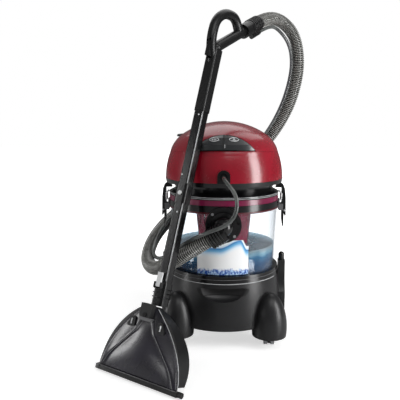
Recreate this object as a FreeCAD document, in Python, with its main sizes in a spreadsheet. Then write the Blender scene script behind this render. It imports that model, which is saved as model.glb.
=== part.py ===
import FreeCAD, Part
import math
import os
import Sketcher
from FreeCAD import Placement, Rotation, Vector
from types import SimpleNamespace

# Wet carpet cleaner: wheeled base, clear water tank, motor head, suction hose and spray wand.
#
# Frame: millimetres, +Z up, floor at z = 0, the machine's own axis is Z and its front faces -Y.
X_AXIS = Vector(1, 0, 0)
Y_AXIS = Vector(0, 1, 0)
Z_AXIS = Vector(0, 0, 1)

SIZES = {
    # heights, stacked from the floor up
    "base_underside": 54, "base_height": 122, "seat_height": 21, "tank_height": 165,
    "collar_height": 16, "rim_height": 13.7, "gasket_height": 2.3, "flange_height": 14,
    "neck_height": 17, "trim_height": 11, "skirt_height": 67, "dome_height": 83,
    # radii of the round machine
    "base_radius": 158, "deck_radius": 150, "tank_bottom_radius": 139, "tank_top_radius": 146.5,
    "collar_radius": 150, "flange_radius": 148, "neck_radius": 131, "skirt_radius": 158,
    "parting_radius": 146, "shoulder_radius": 109, "shoulder_drop": 32,
    "base_bulge": 700, "skirt_bulge": 200, "shoulder_bulge": 87,
    "parting_tilt": 4.7,
    # walls and clearances
    "shell_wall": 3, "tank_wall": 3, "joint_gap": 0.3, "run_gap": 0.05, "fit_gap": 0.1,
    # casters and their pods
    "wheel_radius": 18, "wheel_width": 9, "caster_x": 122, "caster_y": 110, "pod_radius": 46,
    "pod_height": 92, "pod_middle": 52, "pod_bottom": 30, "well_radius": 36, "well_ceiling": 60,
    "stem_radius": 5, "stem_length": 28, "axle_radius": 3, "caster_trail": 10, "fork_width": 8,
    # posts at the base's sides
    "post_width": 18, "post_depth": 28, "post_top": 206, "peg_radius": 8, "peg_length": 14,
    "post_inner": 152, "post_foot": 62, "post_shoulder": 122, "post_neck": 172, "post_flare": 95,
    # hand grip sunk in the front of the base
    "grip_half_width": 68, "grip_depth": 24, "grip_drop": 10, "grip_height": 35, "grip_face": 156,
    # separator and float
    "basket_top_radius": 77, "basket_foot_radius": 62, "basket_depth": 160, "basket_wall": 2.5,
    "web_drop": 18, "float_radius": 17, "float_travel": 35, "float_seat_radius": 12,
    "intake_radius": 26, "cage_bar": 2, "cage_plate": 3,
    # inlet on the tank
    "inlet_drop": 30, "inlet_radius": 45, "inlet_face": 158, "cuff_radius": 24,
    "duct_radius": 21, "duct_wall": 2, "duct_offset": 108, "duct_foot": 205, "lock_depth": 12,
    "lock_radius": 34,
    # label on the tank's front
    "label_width": 131, "label_height": 91, "label_foot": 2, "label_shift": -1.5, "label_lift": 0.6,
    # latches
    "latch_width": 20, "latch_pin_radius": 2.5, "latch_pivot_out": 8, "latch_pivot_drop": 10,
    "latch_tip_drop": 62, "latch_thickness": 5.5,
    # keys on the dome
    "key_arch_radius": 98, "key_arch_drop": 48, "key_proud": 3.5, "key_thickness": 5,
    "key_gap": 0.8, "key_sill": 2.5, "key_pin_radius": 2, "key_pin_back": 101,
    "key_pin_rise": 44,
    # motor stack
    "fan_radius": 82, "fan_height": 34, "motor_radius": 52, "motor_height": 74,
    "shaft_radius": 4, "armature_radius": 34, "pump_radius": 17, "pump_height": 46,
    "pump_x": 84, "pump_y": 72,
    # spray socket, cable gland and carry handle
    "spray_rise": 17, "spray_radius": 9, "gland_radius": 4, "gland_length": 16,
    "gland_rise": 20, "bail_rod": 3, "bail_grip": 9, "bail_out": 128, "bail_back": 30,
    "bail_rise": 43, "bail_reach": 112,
    # hose and spray tube
    "hose_radius": 18.5, "tube_radius": 4.75,
    # wand: its foot, direction, section and lengths along its own axis
    "wand_turn": 33.5, "wand_lean": 20.6, "wand_foot_height": 170.6, "lean_gap": 9.1,
    "lean_bearing": 27.6, "wand_side": 27.5, "wand_wall": 2, "wand_bend": 5, "sleeve_start": 236,
    "sleeve_length": 46, "grip_start": 470, "grip_side": 30, "fork_start": 641,
    "branch_angle": 47, "branch_length": 165, "branch_radius": 13.5, "cuff_length": 57,
    "loop_radius": 12.5, "button_radius": 5, "trigger_pin": 1.5, "trigger_out": 26,
    "trigger_up": 645, "cuff_port_length": 44, "cuff_port_start": 12, "tube_stand_off": 6.5,
    # floor nozzle on the wand's foot
    "nozzle_width": 236, "nozzle_drop": 190, "nozzle_arc": 185, "nozzle_front": 32,
    "nozzle_skin": 3, "nozzle_depth": 42, "lip_height": 11, "lip_depth": 14, "neck_width": 34,
    "clip_out": 21, "clip_up": 34, "clip_pin": 1.5,
}

HOSE_POINTS = [
    (-34, -203, 305), (-86, -201, 273), (-140, -160, 230), (-187, -97, 199), (-215, -13, 208),
    (-204, 80, 250), (-150, 160, 302), (-62, 216, 362), (42, 238, 430), (130, 230, 514),
    (190, 222, 608), (218, 230, 694), (226, 240, 768), (212, 243, 842), (165, 211, 881),
    (118.6, 147.9, 876.2), (92.1, 107.8, 856.4),
]
TUBE_POINTS = [
    (0, -180, 453), (0, -211, 453), (31, -228, 418), (31, -230, 376), (8, -231, 346),
    (-41, -226, 327), (-88, -198, 299), (-136, -152, 254), (-174, -88, 224), (-199, -12, 225),
    (-188, 73, 266), (-138, 148, 320), (-58, 198, 378), (40, 219, 447), (120, 214, 530),
    (170, 210, 618), (196, 216, 700), (204, 226, 764), (192, 226, 818), (152, 192, 856),
    (123.6, 155.2, 852.9), (95.4, 112.6, 831.8),
]

doc = FreeCAD.newDocument("CarpetCleaner")
sheet = doc.addObject("Spreadsheet::Sheet", "Sizes")


class Size:
    """A sheet value: its number, and the expression that a property is bound to."""

    def __init__(self, text, value):
        self.text = text
        self.value = value

    def combine(self, sign, other, value):
        return Size("(%s %s %s)" % (self.text, sign, as_size(other).text), value)

    def __add__(self, other):
        return self.combine("+", other, self.value + as_size(other).value)

    def __sub__(self, other):
        return self.combine("-", other, self.value - as_size(other).value)

    def __mul__(self, other):
        return self.combine("*", other, self.value * as_size(other).value)

    def __truediv__(self, other):
        return self.combine("/", other, self.value / as_size(other).value)

    def __radd__(self, other):
        return as_size(other) + self

    def __rsub__(self, other):
        return as_size(other) - self

    def __rmul__(self, other):
        return as_size(other) * self

    def __neg__(self):
        return as_size(0) - self

    def __float__(self):
        return float(self.value)


def as_size(number):
    return number if isinstance(number, Size) else Size(repr(float(number)), float(number))


for row, (alias, number) in enumerate(SIZES.items(), 1):
    sheet.set("A%d" % row, alias)
    sheet.set("B%d" % row, str(number))
    sheet.setAlias("B%d" % row, alias)
doc.recompute()
s = SimpleNamespace(**{alias: Size("Sizes." + alias, float(sheet.get(alias))) for alias in SIZES})

nodes = {}
CENTRED = {"centred right": 1, "centred left": -1}  # sides of an arc about the sketch's V axis


def bind(item, **properties):
    for name, amount in properties.items():
        item.setExpression(name.replace("_", "."), as_size(amount).text)
    return item


def place(item, x=0, y=0, z=0, turn=None):
    if turn:
        item.Placement = Placement(Vector(), turn)
    for name, amount in (("x", x), ("y", y), ("z", z)):
        item.setExpression("Placement.Base." + name, as_size(amount).text)
    return item


def box(name, length, width, height, x=0, y=0, z=0, turn=None):
    item = doc.addObject("Part::Box", name)
    bind(item, Length=length, Width=width, Height=height)
    return place(item, x, y, z, turn)


def centred_box(name, length, width, height, x=0, y=0, z=0):
    return box(name, length, width, height, x - as_size(length) / 2, y - as_size(width) / 2, z)


def cylinder(name, radius, height, x=0, y=0, z=0, along=Z_AXIS):
    item = doc.addObject("Part::Cylinder", name)
    bind(item, Radius=radius, Height=height)
    return place(item, x, y, z, Rotation(Z_AXIS, along))


def sphere(name, radius, x=0, y=0, z=0):
    item = doc.addObject("Part::Sphere", name)
    bind(item, Radius=radius)
    return place(item, x, y, z)


def fuse(name, *items):
    item = doc.addObject("Part::MultiFuse", name)
    item.Shapes = list(items)
    return item


def group(name, *items):
    item = doc.addObject("Part::Compound", name)
    item.Links = list(items)
    return item


def cut(name, base, *tools):
    item = doc.addObject("Part::Cut", name)
    item.Base = base
    item.Tool = tools[0] if len(tools) == 1 else fuse(name + "_tools", *tools)
    return item


def common(name, first, second):
    item = doc.addObject("Part::Common", name)
    item.Base = first
    item.Tool = second
    return item


def ring(name, outer, inner, height, x=0, y=0, z=0, along=Z_AXIS):
    hole = cylinder(name + "_hole", inner, as_size(height) * 3, x - as_size(height) * along.x,
                    y - as_size(height) * along.y, z - as_size(height) * along.z, along)
    return cut(name, cylinder(name + "_disc", outer, height, x, y, z, along), hole)


def keep(node, item):
    item.Label = node
    nodes[node] = item
    return item


def outline(body, plane, points):
    """A closed sketch whose corners are bound to sizes. A corner may give the radius of the arc
    that leads to the next one, positive where the arc bulges to the right of its travel."""
    sketch = body.newObject("Sketcher::SketchObject", body.Name + "_sketch")
    planes = [face for face in body.Origin.OriginFeatures if face.Role == plane]
    sketch.AttachmentSupport = [(planes[0], "")]
    sketch.MapMode = "FlatFace"
    spots = [Vector(float(as_size(p[0])), float(as_size(p[1])), 0) for p in points]
    for index, corner in enumerate(points):
        start = spots[index]
        end = spots[(index + 1) % len(spots)]
        if len(corner) == 2:
            sketch.addGeometry(Part.LineSegment(start, end), False)
        else:
            sketch.addGeometry(arc_between(start, end, arc_bulge(corner, start, end)), False)
    for index, corner in enumerate(points):
        near = arc_start(points, index)
        far = arc_end(points, index - 1)
        sketch.addConstraint(Sketcher.Constraint("Coincident", (index - 1) % len(points), far, index, near))
    for index, corner in enumerate(points):
        near = arc_start(points, index)
        for kind, amount in (("DistanceX", corner[0]), ("DistanceY", corner[1])):
            amount = as_size(amount)
            if amount.value == 0:
                axis = -2 if kind == "DistanceX" else -1
                sketch.addConstraint(Sketcher.Constraint("PointOnObject", index, near, axis))
                continue
            number = sketch.addConstraint(Sketcher.Constraint(kind, -1, 1, index, near, amount.value))
            sketch.setExpression("Constraints[%d]" % number, amount.text)
        if len(corner) == 3 and corner[2] in CENTRED:
            sketch.addConstraint(Sketcher.Constraint("PointOnObject", index, 3, -2))
        elif len(corner) == 3:
            bulge = as_size(corner[2])
            bulge = bulge if bulge.value > 0 else -bulge
            number = sketch.addConstraint(Sketcher.Constraint("Radius", index, bulge.value))
            sketch.setExpression("Constraints[%d]" % number, bulge.text)
    return sketch


def arc_bulge(corner, start, end):
    """The arc's radius, signed by its side; a centred arc has its centre on the sketch's V axis."""
    if corner[2] not in CENTRED:
        return float(as_size(corner[2]))
    centre = (start.x ** 2 + start.y ** 2 - end.x ** 2 - end.y ** 2) / (2 * (start.y - end.y))
    return CENTRED[corner[2]] * start.distanceToPoint(Vector(0, centre, 0))


def arc_between(start, end, bulge):
    chord = end - start
    side = Vector(chord.y, -chord.x, 0).normalize()
    radius = abs(bulge)
    inset = math.sqrt(radius ** 2 - (chord.Length / 2) ** 2)
    side = side if bulge > 0 else side * -1
    middle = (start + end) / 2 + side * (radius - inset)
    return Part.Arc(start, middle, end)


def arc_start(points, index):
    corner = points[index % len(points)]
    if len(corner) == 2:
        return 1
    side = CENTRED[corner[2]] if corner[2] in CENTRED else float(as_size(corner[2]))
    return 1 if side > 0 else 2


def arc_end(points, index):
    return 3 - arc_start(points, index)


def turned(name, points):
    """A solid of revolution about Z from an outline in the XZ plane, given as (radius, height)."""
    body = doc.addObject("PartDesign::Body", name)
    sketch = outline(body, "XZ_Plane", points)
    turn = body.newObject("PartDesign::Revolution", name + "_turn")
    turn.Profile = sketch
    turn.ReferenceAxis = (sketch, ["V_Axis"])
    turn.Angle = 360
    body.Tip = turn
    return body


def padded(name, plane, points, depth):
    """A flat outline on one of the body's planes, padded equally to both sides."""
    body = doc.addObject("PartDesign::Body", name)
    sketch = outline(body, plane, points)
    pad = body.newObject("PartDesign::Pad", name + "_pad")
    pad.Profile = sketch
    pad.Midplane = True
    bind(pad, Length=depth)
    body.Tip = pad
    return body


def bent_path(points):
    """Straight runs joined by tangent arcs, as large as their two runs allow."""
    spots = [Vector(*point) for point in points]
    edges = []
    radii = []
    last = spots[0]
    for before, corner, after in zip(spots, spots[1:], spots[2:]):
        into = (corner - before).normalize()
        away = (after - corner).normalize()
        turn = into.getAngle(away)
        trim = 0.45 * min(before.distanceToPoint(corner), corner.distanceToPoint(after))
        radii.append(trim / math.tan(turn / 2))
        start = corner - into * trim
        end = corner + away * trim
        middle = corner + (away - into).normalize() * (radii[-1] / math.cos(turn / 2) - radii[-1])
        edges.append(Part.LineSegment(last, start).toShape())
        edges.append(Part.Arc(start, middle, end).toShape())
        last = end
    edges.append(Part.LineSegment(last, spots[-1]).toShape())
    return Part.Wire(edges), radii


def swept_tube(name, points, radius, wall=None):
    """A round tube along a bent path, read from the sheet's radius."""
    path, radii = bent_path(points)
    along = Vector(*points[1]) - Vector(*points[0])
    section = Part.Wire([Part.Circle(Vector(*points[0]), along, float(radius)).toShape()])
    shape = path.makePipeShell([section], True, False)
    item = doc.addObject("Part::Feature", name)
    item.Shape = shape
    ideal = math.pi * float(radius) ** 2 * path.Length
    print("%s: length %.0f, smallest bend %.0f, volume over section times length %.4f"
          % (name, path.Length, min(radii), shape.Volume / ideal))
    print("   bends", [round(bend) for bend in radii])
    return item


def screw(name, radius, length, x, y, z, along):
    """A pan-head screw whose head's underside sits at the given spot, its shank pointing along."""
    head = cylinder(name + "_head", radius * 2, radius, x - radius * along.x, y - radius * along.y,
                    z - radius * along.z, along)
    shank = cylinder(name + "_shank", radius, length, x, y, z, along)
    return fuse(name, head, shank)


# levels, stacked from the driving heights
deck = s.base_underside + s.base_height
seat_top = deck + s.seat_height
tank_top = seat_top + s.tank_height
collar_top = tank_top + s.collar_height
rim_top = collar_top + s.rim_height
lid_foot = rim_top + s.gasket_height
flange_top = lid_foot + s.flange_height
neck_top = flange_top + s.neck_height
skirt_foot = neck_top + s.trim_height
parting = skirt_foot + s.skirt_height
crown = parting + s.dome_height
shoulder = crown - s.shoulder_drop
tank_inside = s.tank_top_radius - s.tank_wall
inlet_height = tank_top - s.inlet_drop
latch_pivot_height = tank_top - s.latch_pivot_drop
latch_tip_height = tank_top - s.latch_tip_drop
spray_height = skirt_foot + s.spray_rise
gland_height = skirt_foot + s.gland_rise
key_arch_height = parting - s.key_arch_drop
key_pin_height = parting + s.key_pin_rise
bail_height = parting + s.bail_rise
far = 400  # long enough to pass right through the machine

CORNERS = {"front_left": (-1, -1), "front_right": (1, -1), "rear_left": (-1, 1), "rear_right": (1, 1)}
SIDES = {"left": -1, "right": 1}


def grip_hollow(name, extra):
    """The lower half of an egg sunk in the base's front: a finger recess, or its wall when extra is given."""
    egg = doc.addObject("Part::Ellipsoid", name + "_egg")
    bind(egg, Radius1=s.grip_height + extra, Radius2=s.grip_half_width + extra,
         Radius3=s.grip_depth + extra)
    place(egg, 0, -s.grip_face, deck - s.grip_drop)
    return common(name, egg, centred_box(name + "_band", far, far, far / 2, 0, -s.grip_face,
                                         deck - s.grip_drop + extra - far / 2))


def make_base():
    shell = turned("base_tub", [
        (s.base_radius, s.base_underside, s.base_bulge), (s.deck_radius, deck),
        (0, deck), (0, deck - s.shell_wall), (s.deck_radius - s.shell_wall, deck - s.shell_wall),
        (s.base_radius - s.shell_wall, s.base_underside)])
    pods = []
    wells = []
    for corner, (side, end) in CORNERS.items():
        pod = doc.addObject("Part::Ellipsoid", "pod_" + corner)
        bind(pod, Radius1=s.pod_height, Radius2=s.pod_radius, Radius3=s.pod_radius)
        place(pod, s.caster_x * side, s.caster_y * end, s.pod_middle)
        pods.append(pod)
        wells.append(cylinder("well_" + corner, s.well_radius, s.well_ceiling,
                              s.caster_x * side, s.caster_y * end, 0))
        wells.append(cylinder("stem_bore_" + corner, s.stem_radius + s.run_gap,
                              s.stem_length + 1, s.caster_x * side, s.caster_y * end,
                              s.well_ceiling))
    below = centred_box("below_pods", far * 2, far * 2, far, 0, 0, s.pod_bottom - far)
    posts = []
    half = s.post_depth / 2
    foot = s.post_foot / 2
    for side, sign in SIDES.items():
        post = padded("post_" + side, "YZ_Plane", [
            (foot, s.base_underside), (foot, s.post_shoulder, -s.post_flare), (half, s.post_neck),
            (half, s.post_top), (-half, s.post_top), (-half, s.post_neck, -s.post_flare),
            (-foot, s.post_shoulder), (-foot, s.base_underside)], s.post_width)
        posts.append(place(post, (s.post_inner + s.post_width / 2) * sign))
    filled = turned("tub_filled", [
        (s.base_radius, s.base_underside, s.base_bulge), (s.deck_radius, deck), (0, deck),
        (0, s.base_underside)])
    pocket = common("grip_pocket", filled, grip_hollow("grip_wall", s.shell_wall))
    scoop = grip_hollow("grip_recess", 0)
    solid = fuse("base_solid", shell, *pods, *posts, pocket)
    keep("base_shell", cut("base_shell_cut", solid, below, *wells, scoop))
    plate = cylinder("plate_disc", s.base_radius - 1, s.shell_wall, 0, 0, s.base_underside + 0.5)
    bites = []
    for corner, (side, end) in CORNERS.items():
        bites.append(cylinder("bite_" + corner, s.pod_radius + 1, s.well_ceiling,
                              s.caster_x * side, s.caster_y * end, s.pod_bottom))
    keep("base_floor_plate", cut("plate_cut", plate, nodes["base_shell"], *bites))
    keep("seat_ring", turned("seat_ring_body", [
        (s.deck_radius + 1, deck), (s.deck_radius - 1, seat_top),
        (s.tank_bottom_radius + s.fit_gap, seat_top),
        (s.tank_bottom_radius + s.fit_gap - 1, deck)]))
    pegs = []
    for side, sign in SIDES.items():
        middle = (s.post_inner + s.post_width / 2) * sign
        pegs.append(fuse("peg_" + side,
                         cylinder("peg_pin_" + side, s.peg_radius, s.peg_length, middle, 0, s.post_top),
                         sphere("peg_top_" + side, s.peg_radius, middle, 0, s.post_top + s.peg_length)))
    pegs = [cut("peg_seat_%d" % number, peg, centred_box(
        "peg_below_%d" % number, far, far, far, 0, 0, s.post_top - far)) for number, peg in enumerate(pegs)]
    keep("accessory_pegs", group("pegs", *pegs))


def make_casters():
    for corner, (side, end) in CORNERS.items():
        x = s.caster_x * side
        y = s.caster_y * end
        axle_y = y + s.caster_trail
        disc_z = s.well_ceiling - s.joint_gap - 7
        disc = cylinder("fork_disc_" + corner, s.stem_radius + 9, 7, x, y, disc_z)
        stem = cylinder("fork_stem_" + corner, s.stem_radius, s.stem_length + 7, x, y, disc_z)
        plate = centred_box("fork_plate_" + corner, s.fork_width, 30, disc_z - 9, x,
                            y + s.caster_trail / 2, 10)
        bore = cylinder("fork_bore_" + corner, s.axle_radius + s.run_gap, s.fork_width * 2,
                        x - s.fork_width, axle_y, s.wheel_radius, X_AXIS)
        fork = fuse("fork_solid_" + corner, disc, stem, plate)
        keep("caster_fork_" + corner, cut("fork_" + corner, fork, bore))
        near = s.fork_width / 2 + s.joint_gap
        wheels = [
            cylinder("wheel_out_" + corner, s.wheel_radius, s.wheel_width, x + near, axle_y,
                     s.wheel_radius, X_AXIS),
            cylinder("wheel_in_" + corner, s.wheel_radius, s.wheel_width,
                     x - near - s.wheel_width, axle_y, s.wheel_radius, X_AXIS),
            cylinder("axle_" + corner, s.axle_radius, (near + s.wheel_width) * 2,
                     x - near - s.wheel_width, axle_y, s.wheel_radius, X_AXIS)]
        keep("caster_wheel_" + corner, fuse("wheel_" + corner, *wheels))


def make_tank():
    foot = s.tank_bottom_radius - 1
    wall = s.tank_wall
    shell = turned("tank_turned", [
        (foot, deck), (s.tank_bottom_radius, seat_top), (s.tank_top_radius, tank_top),
        (s.tank_top_radius, collar_top), (tank_inside, collar_top), (tank_inside, tank_top),
        (s.tank_bottom_radius - wall, seat_top), (foot - wall, deck + wall), (0, deck + wall),
        (0, deck)])
    port = cylinder("tank_port", s.duct_radius + s.duct_wall + s.fit_gap, 60, 0,
                    -s.tank_top_radius - 20, inlet_height, Y_AXIS)
    keep("tank_shell", cut("tank_cut", shell, port))
    keep("tank_collar", turned("collar_turned", [
        (s.collar_radius, tank_top), (s.collar_radius, collar_top),
        (s.tank_top_radius + s.fit_gap, collar_top), (s.tank_top_radius + s.fit_gap, tank_top)]))
    web = tank_top - s.web_drop + 14
    keep("separator_rim", turned("rim_turned", [
        (s.flange_radius, collar_top), (s.flange_radius, rim_top), (s.flange_radius - 8, rim_top),
        (s.flange_radius - 8, web + 3), (s.basket_top_radius, web + 3), (s.basket_top_radius, web),
        (tank_inside - s.fit_gap - 0.2, web), (tank_inside - s.fit_gap - 0.2, collar_top)]))
    foot_z = web - s.basket_depth
    thin = s.basket_wall
    basket = turned("basket_turned", [
        (s.basket_foot_radius, foot_z), (s.basket_top_radius, web - 3),
        (s.basket_top_radius + 6, web - 3), (s.basket_top_radius + 6, web),
        (s.basket_top_radius - thin, web), (s.basket_foot_radius - thin, foot_z + thin),
        (0, foot_z + thin), (0, foot_z)])
    slots = []
    for step in range(12):
        slot = box("slot_%d" % step, 4, far, 30, -2, -far / 2, web - 46)
        slots.append(place_turned(slot, step * 15))
    keep("separator_basket", cut("basket_cut", basket, *slots))
    cage_top = flange_top - 2.5 - s.cage_plate
    float_drop = math.sqrt(float(s.float_radius) ** 2 - float(s.float_seat_radius) ** 2)
    float_rest = cage_top - float_drop - s.float_travel - s.joint_gap
    cage_foot = float_rest - s.float_radius - s.joint_gap - s.cage_plate
    cage_reach = s.float_radius + s.cage_bar * 2
    cage = [ring("cage_top", s.intake_radius + 12, s.float_seat_radius, s.cage_plate, 0, 0, cage_top),
            ring("cage_foot", cage_reach + s.cage_bar * 2, s.float_radius / 2, s.cage_plate, 0, 0, cage_foot)]
    for step in range(4):
        angle = math.radians(45 + 90 * step)
        cage.append(cylinder("cage_bar_%d" % step, s.cage_bar, cage_top - cage_foot,
                             cage_reach * math.cos(angle), cage_reach * math.sin(angle), cage_foot))
    keep("float_cage", fuse("cage", *cage))
    keep("float_ball", sphere("float_sphere", s.float_radius, 0, 0, float_rest))
    keep("head_gasket", turned("gasket_turned", [
        (s.flange_radius - 0.5, rim_top), (s.flange_radius - 0.5, lid_foot),
        (s.flange_radius - 7.5, lid_foot), (s.flange_radius - 7.5, rim_top)]))


def place_turned(item, degrees):
    """Turns an item, placed about the origin, round the machine's axis."""
    item.setExpression("Placement.Base.x", None)
    item.setExpression("Placement.Base.y", None)
    shift = Vector(-float(item.Length.Value) / 2, -float(item.Width.Value) / 2, 0)
    turn = Rotation(Z_AXIS, degrees)
    base = turn.multVec(shift)
    item.Placement = Placement(Vector(base.x, base.y, item.Placement.Base.z), turn)
    return item


def make_inlet():
    z = inlet_height
    face = s.inlet_face
    tank_body = nodes["tank_shell"].Base
    outside = turned("tank_outside", [
        (s.tank_bottom_radius, seat_top), (s.tank_top_radius, tank_top), (s.collar_radius, tank_top),
        (s.collar_radius, collar_top), (0, collar_top), (0, seat_top)])
    plate = cylinder("flange_plate", s.inlet_radius, 40, 0, -face, z, Y_AXIS)
    bore = cylinder("flange_bore", s.cuff_radius + s.joint_gap, 80, 0, -face - 20, z, Y_AXIS)
    holes = []
    screws = []
    for step in range(4):
        angle = math.radians(45 + 90 * step)
        reach = s.inlet_radius - 6
        x = reach * math.cos(angle)
        up = z + reach * math.sin(angle)
        holes.append(cylinder("flange_hole_%d" % step, 1.9, 80, x, -face - 20, up, Y_AXIS))
        screws.append(screw("inlet_screw_%d" % step, s.latch_pin_radius * 0.7, 12, x, -face, up, Y_AXIS))
    keep("inlet_flange", cut("flange_cut", plate, outside, bore, *holes))
    keep("inlet_screws", cut("inlet_screws_cut", group("inlet_screw_set", *screws), outside))
    wide = s.duct_radius + s.duct_wall
    stub_start = s.tank_top_radius + 1
    back = stub_start - s.duct_offset
    outer = fuse("duct_outer",
                 cylinder("duct_stub", wide, back, 0, -stub_start, z, Y_AXIS),
                 sphere("duct_corner", wide, 0, -s.duct_offset, z),
                 cylinder("duct_drop", wide, z - s.duct_foot, 0, -s.duct_offset, s.duct_foot))
    inner = fuse("duct_inner",
                 cylinder("duct_stub_way", s.duct_radius, back + 10, 0, -stub_start - 10, z, Y_AXIS),
                 sphere("duct_corner_way", s.duct_radius, 0, -s.duct_offset, z),
                 cylinder("duct_drop_way", s.duct_radius, z - s.duct_foot + 10, 0, -s.duct_offset,
                          s.duct_foot - 10))
    keep("inlet_duct", cut("duct_cut", outer, inner))
    lock = ring("lock_disc", s.lock_radius, s.cuff_radius + s.joint_gap, s.lock_depth, 0,
                -face - s.joint_gap - s.lock_depth, z, Y_AXIS)
    tabs = []
    for sign in (-1, 1):
        tabs.append(centred_box("lock_tab_%d" % (sign + 1), 8, s.lock_depth, 10,
                                (s.lock_radius + 2) * sign, -face - s.joint_gap - s.lock_depth / 2,
                                z - 5))
    keep("hose_lock_ring", fuse("lock_ring", lock, *tabs))
    start = Vector(*HOSE_POINTS[0])
    aim = (Vector(*HOSE_POINTS[1]) - start).normalize()
    knee_y = face + s.lock_depth + 8
    stub = cylinder("cuff_stub", s.cuff_radius, 16 + s.lock_depth, 0, -knee_y, z, Y_AXIS)
    knee = sphere("cuff_knee", s.cuff_radius, 0, -knee_y, z)
    knee_spot = Vector(0, -float(knee_y), float(z))
    spout = doc.addObject("Part::Cylinder", "cuff_spout")
    bind(spout, Radius=s.cuff_radius - 0.5)
    spout.Height = (start - knee_spot).dot(aim)
    spout.Placement = Placement(start - aim * spout.Height.Value, Rotation(Z_AXIS, aim))
    keep("hose_cuff", fuse("cuff", stub, knee, spout))


def make_label():
    lift = s.label_lift
    outside = turned("label_outside", [
        (s.tank_bottom_radius + lift, seat_top), (s.tank_top_radius + lift, tank_top),
        (s.tank_top_radius, tank_top), (s.tank_bottom_radius, seat_top)])
    window = centred_box("label_window", s.label_width, s.tank_top_radius, s.label_height, s.label_shift,
                         -s.tank_top_radius, seat_top + s.label_foot)
    flange = cylinder("label_clear", s.inlet_radius + 1, far, 0, -far, inlet_height, Y_AXIS)
    keep("tank_label", cut("label_cut", common("label_piece", outside, window), flange))


def make_latches():
    half = s.latch_width / 2
    pivot_x = s.collar_radius + s.latch_pivot_out
    outer = pivot_x + s.latch_thickness
    claw = flange_top + s.joint_gap
    brackets = []
    for side, sign in SIDES.items():
        lever = padded("lever_" + side, "XZ_Plane", [
            (sign * (s.flange_radius - 7), claw), (sign * pivot_x, claw),
            (sign * pivot_x, latch_tip_height + 22),
            (sign * (outer - 2), latch_tip_height), (sign * outer, latch_tip_height + 4),
            (sign * outer, claw - 8), (sign * (outer - 8), claw + 5.5),
            (sign * (s.flange_radius - 5), claw + 5.5)], s.latch_width)
        boss = cylinder("boss_" + side, s.latch_pin_radius * 2, s.latch_width, pivot_x * sign,
                        -half, latch_pivot_height, Y_AXIS)
        bore = cylinder("boss_bore_" + side, s.latch_pin_radius + s.run_gap, s.latch_width * 2,
                        pivot_x * sign, -s.latch_width, latch_pivot_height, Y_AXIS)
        keep("latch_" + side, cut("latch_cut_" + side, fuse("latch_solid_" + side, lever, boss), bore))
        wide = s.latch_width + 8
        plate = centred_box("bracket_plate_" + side, 6, wide, 30,
                            (s.collar_radius - 1) * sign, 0, latch_pivot_height - 6)
        cheeks = [centred_box("bracket_cheek_%s_%d" % (side, end + 1), 12, 3.5, 18,
                              (s.collar_radius + 5.5) * sign, (half + 2.05) * end,
                              latch_pivot_height - 6) for end in (-1, 1)]
        pin = cylinder("latch_pin_" + side, s.latch_pin_radius, wide - 0.5, pivot_x * sign,
                       -(wide - 0.5) / 2, latch_pivot_height, Y_AXIS)
        body = fuse("bracket_solid_" + side, plate, *cheeks, pin)
        drum = cylinder("bracket_seat_" + side, s.collar_radius, 60, 0, 0, latch_pivot_height - 30)
        brackets.append(cut("bracket_" + side, body, drum))
    keep("latch_brackets", group("brackets", *brackets))


def head_profile(name, offset, thick):
    """The head's outer surface, moved in by an offset, as a shell of the given thickness."""
    def line(inset):
        return [(s.skirt_radius - inset, skirt_foot, s.skirt_bulge - inset),
                (s.parting_radius - inset, parting, s.shoulder_bulge - inset),
                (s.shoulder_radius - inset * 0.54, shoulder - inset * 0.84, "centred right"),
                (0, crown - inset)]
    outer = line(offset)
    inner = line(offset + thick)
    back = [(inner[3][0], inner[3][1], "centred left"), (inner[2][0], inner[2][1], -inner[1][2]),
            (inner[1][0], inner[1][1], -inner[0][2]), (inner[0][0], inner[0][1])]
    return turned(name, outer + back)


def tilted_space(name, lift):
    """Everything above the head's parting plane, which is higher at the front."""
    item = doc.addObject("Part::Box", name)
    item.Length = far * 2
    item.Width = far * 2
    item.Height = far
    turn = Rotation(X_AXIS, -float(s.parting_tilt))
    spot = Vector(0, 0, float(parting) + float(as_size(lift)))
    item.Placement = Placement(spot + turn.multVec(Vector(-far, -far, 0)), turn)
    return item


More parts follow.
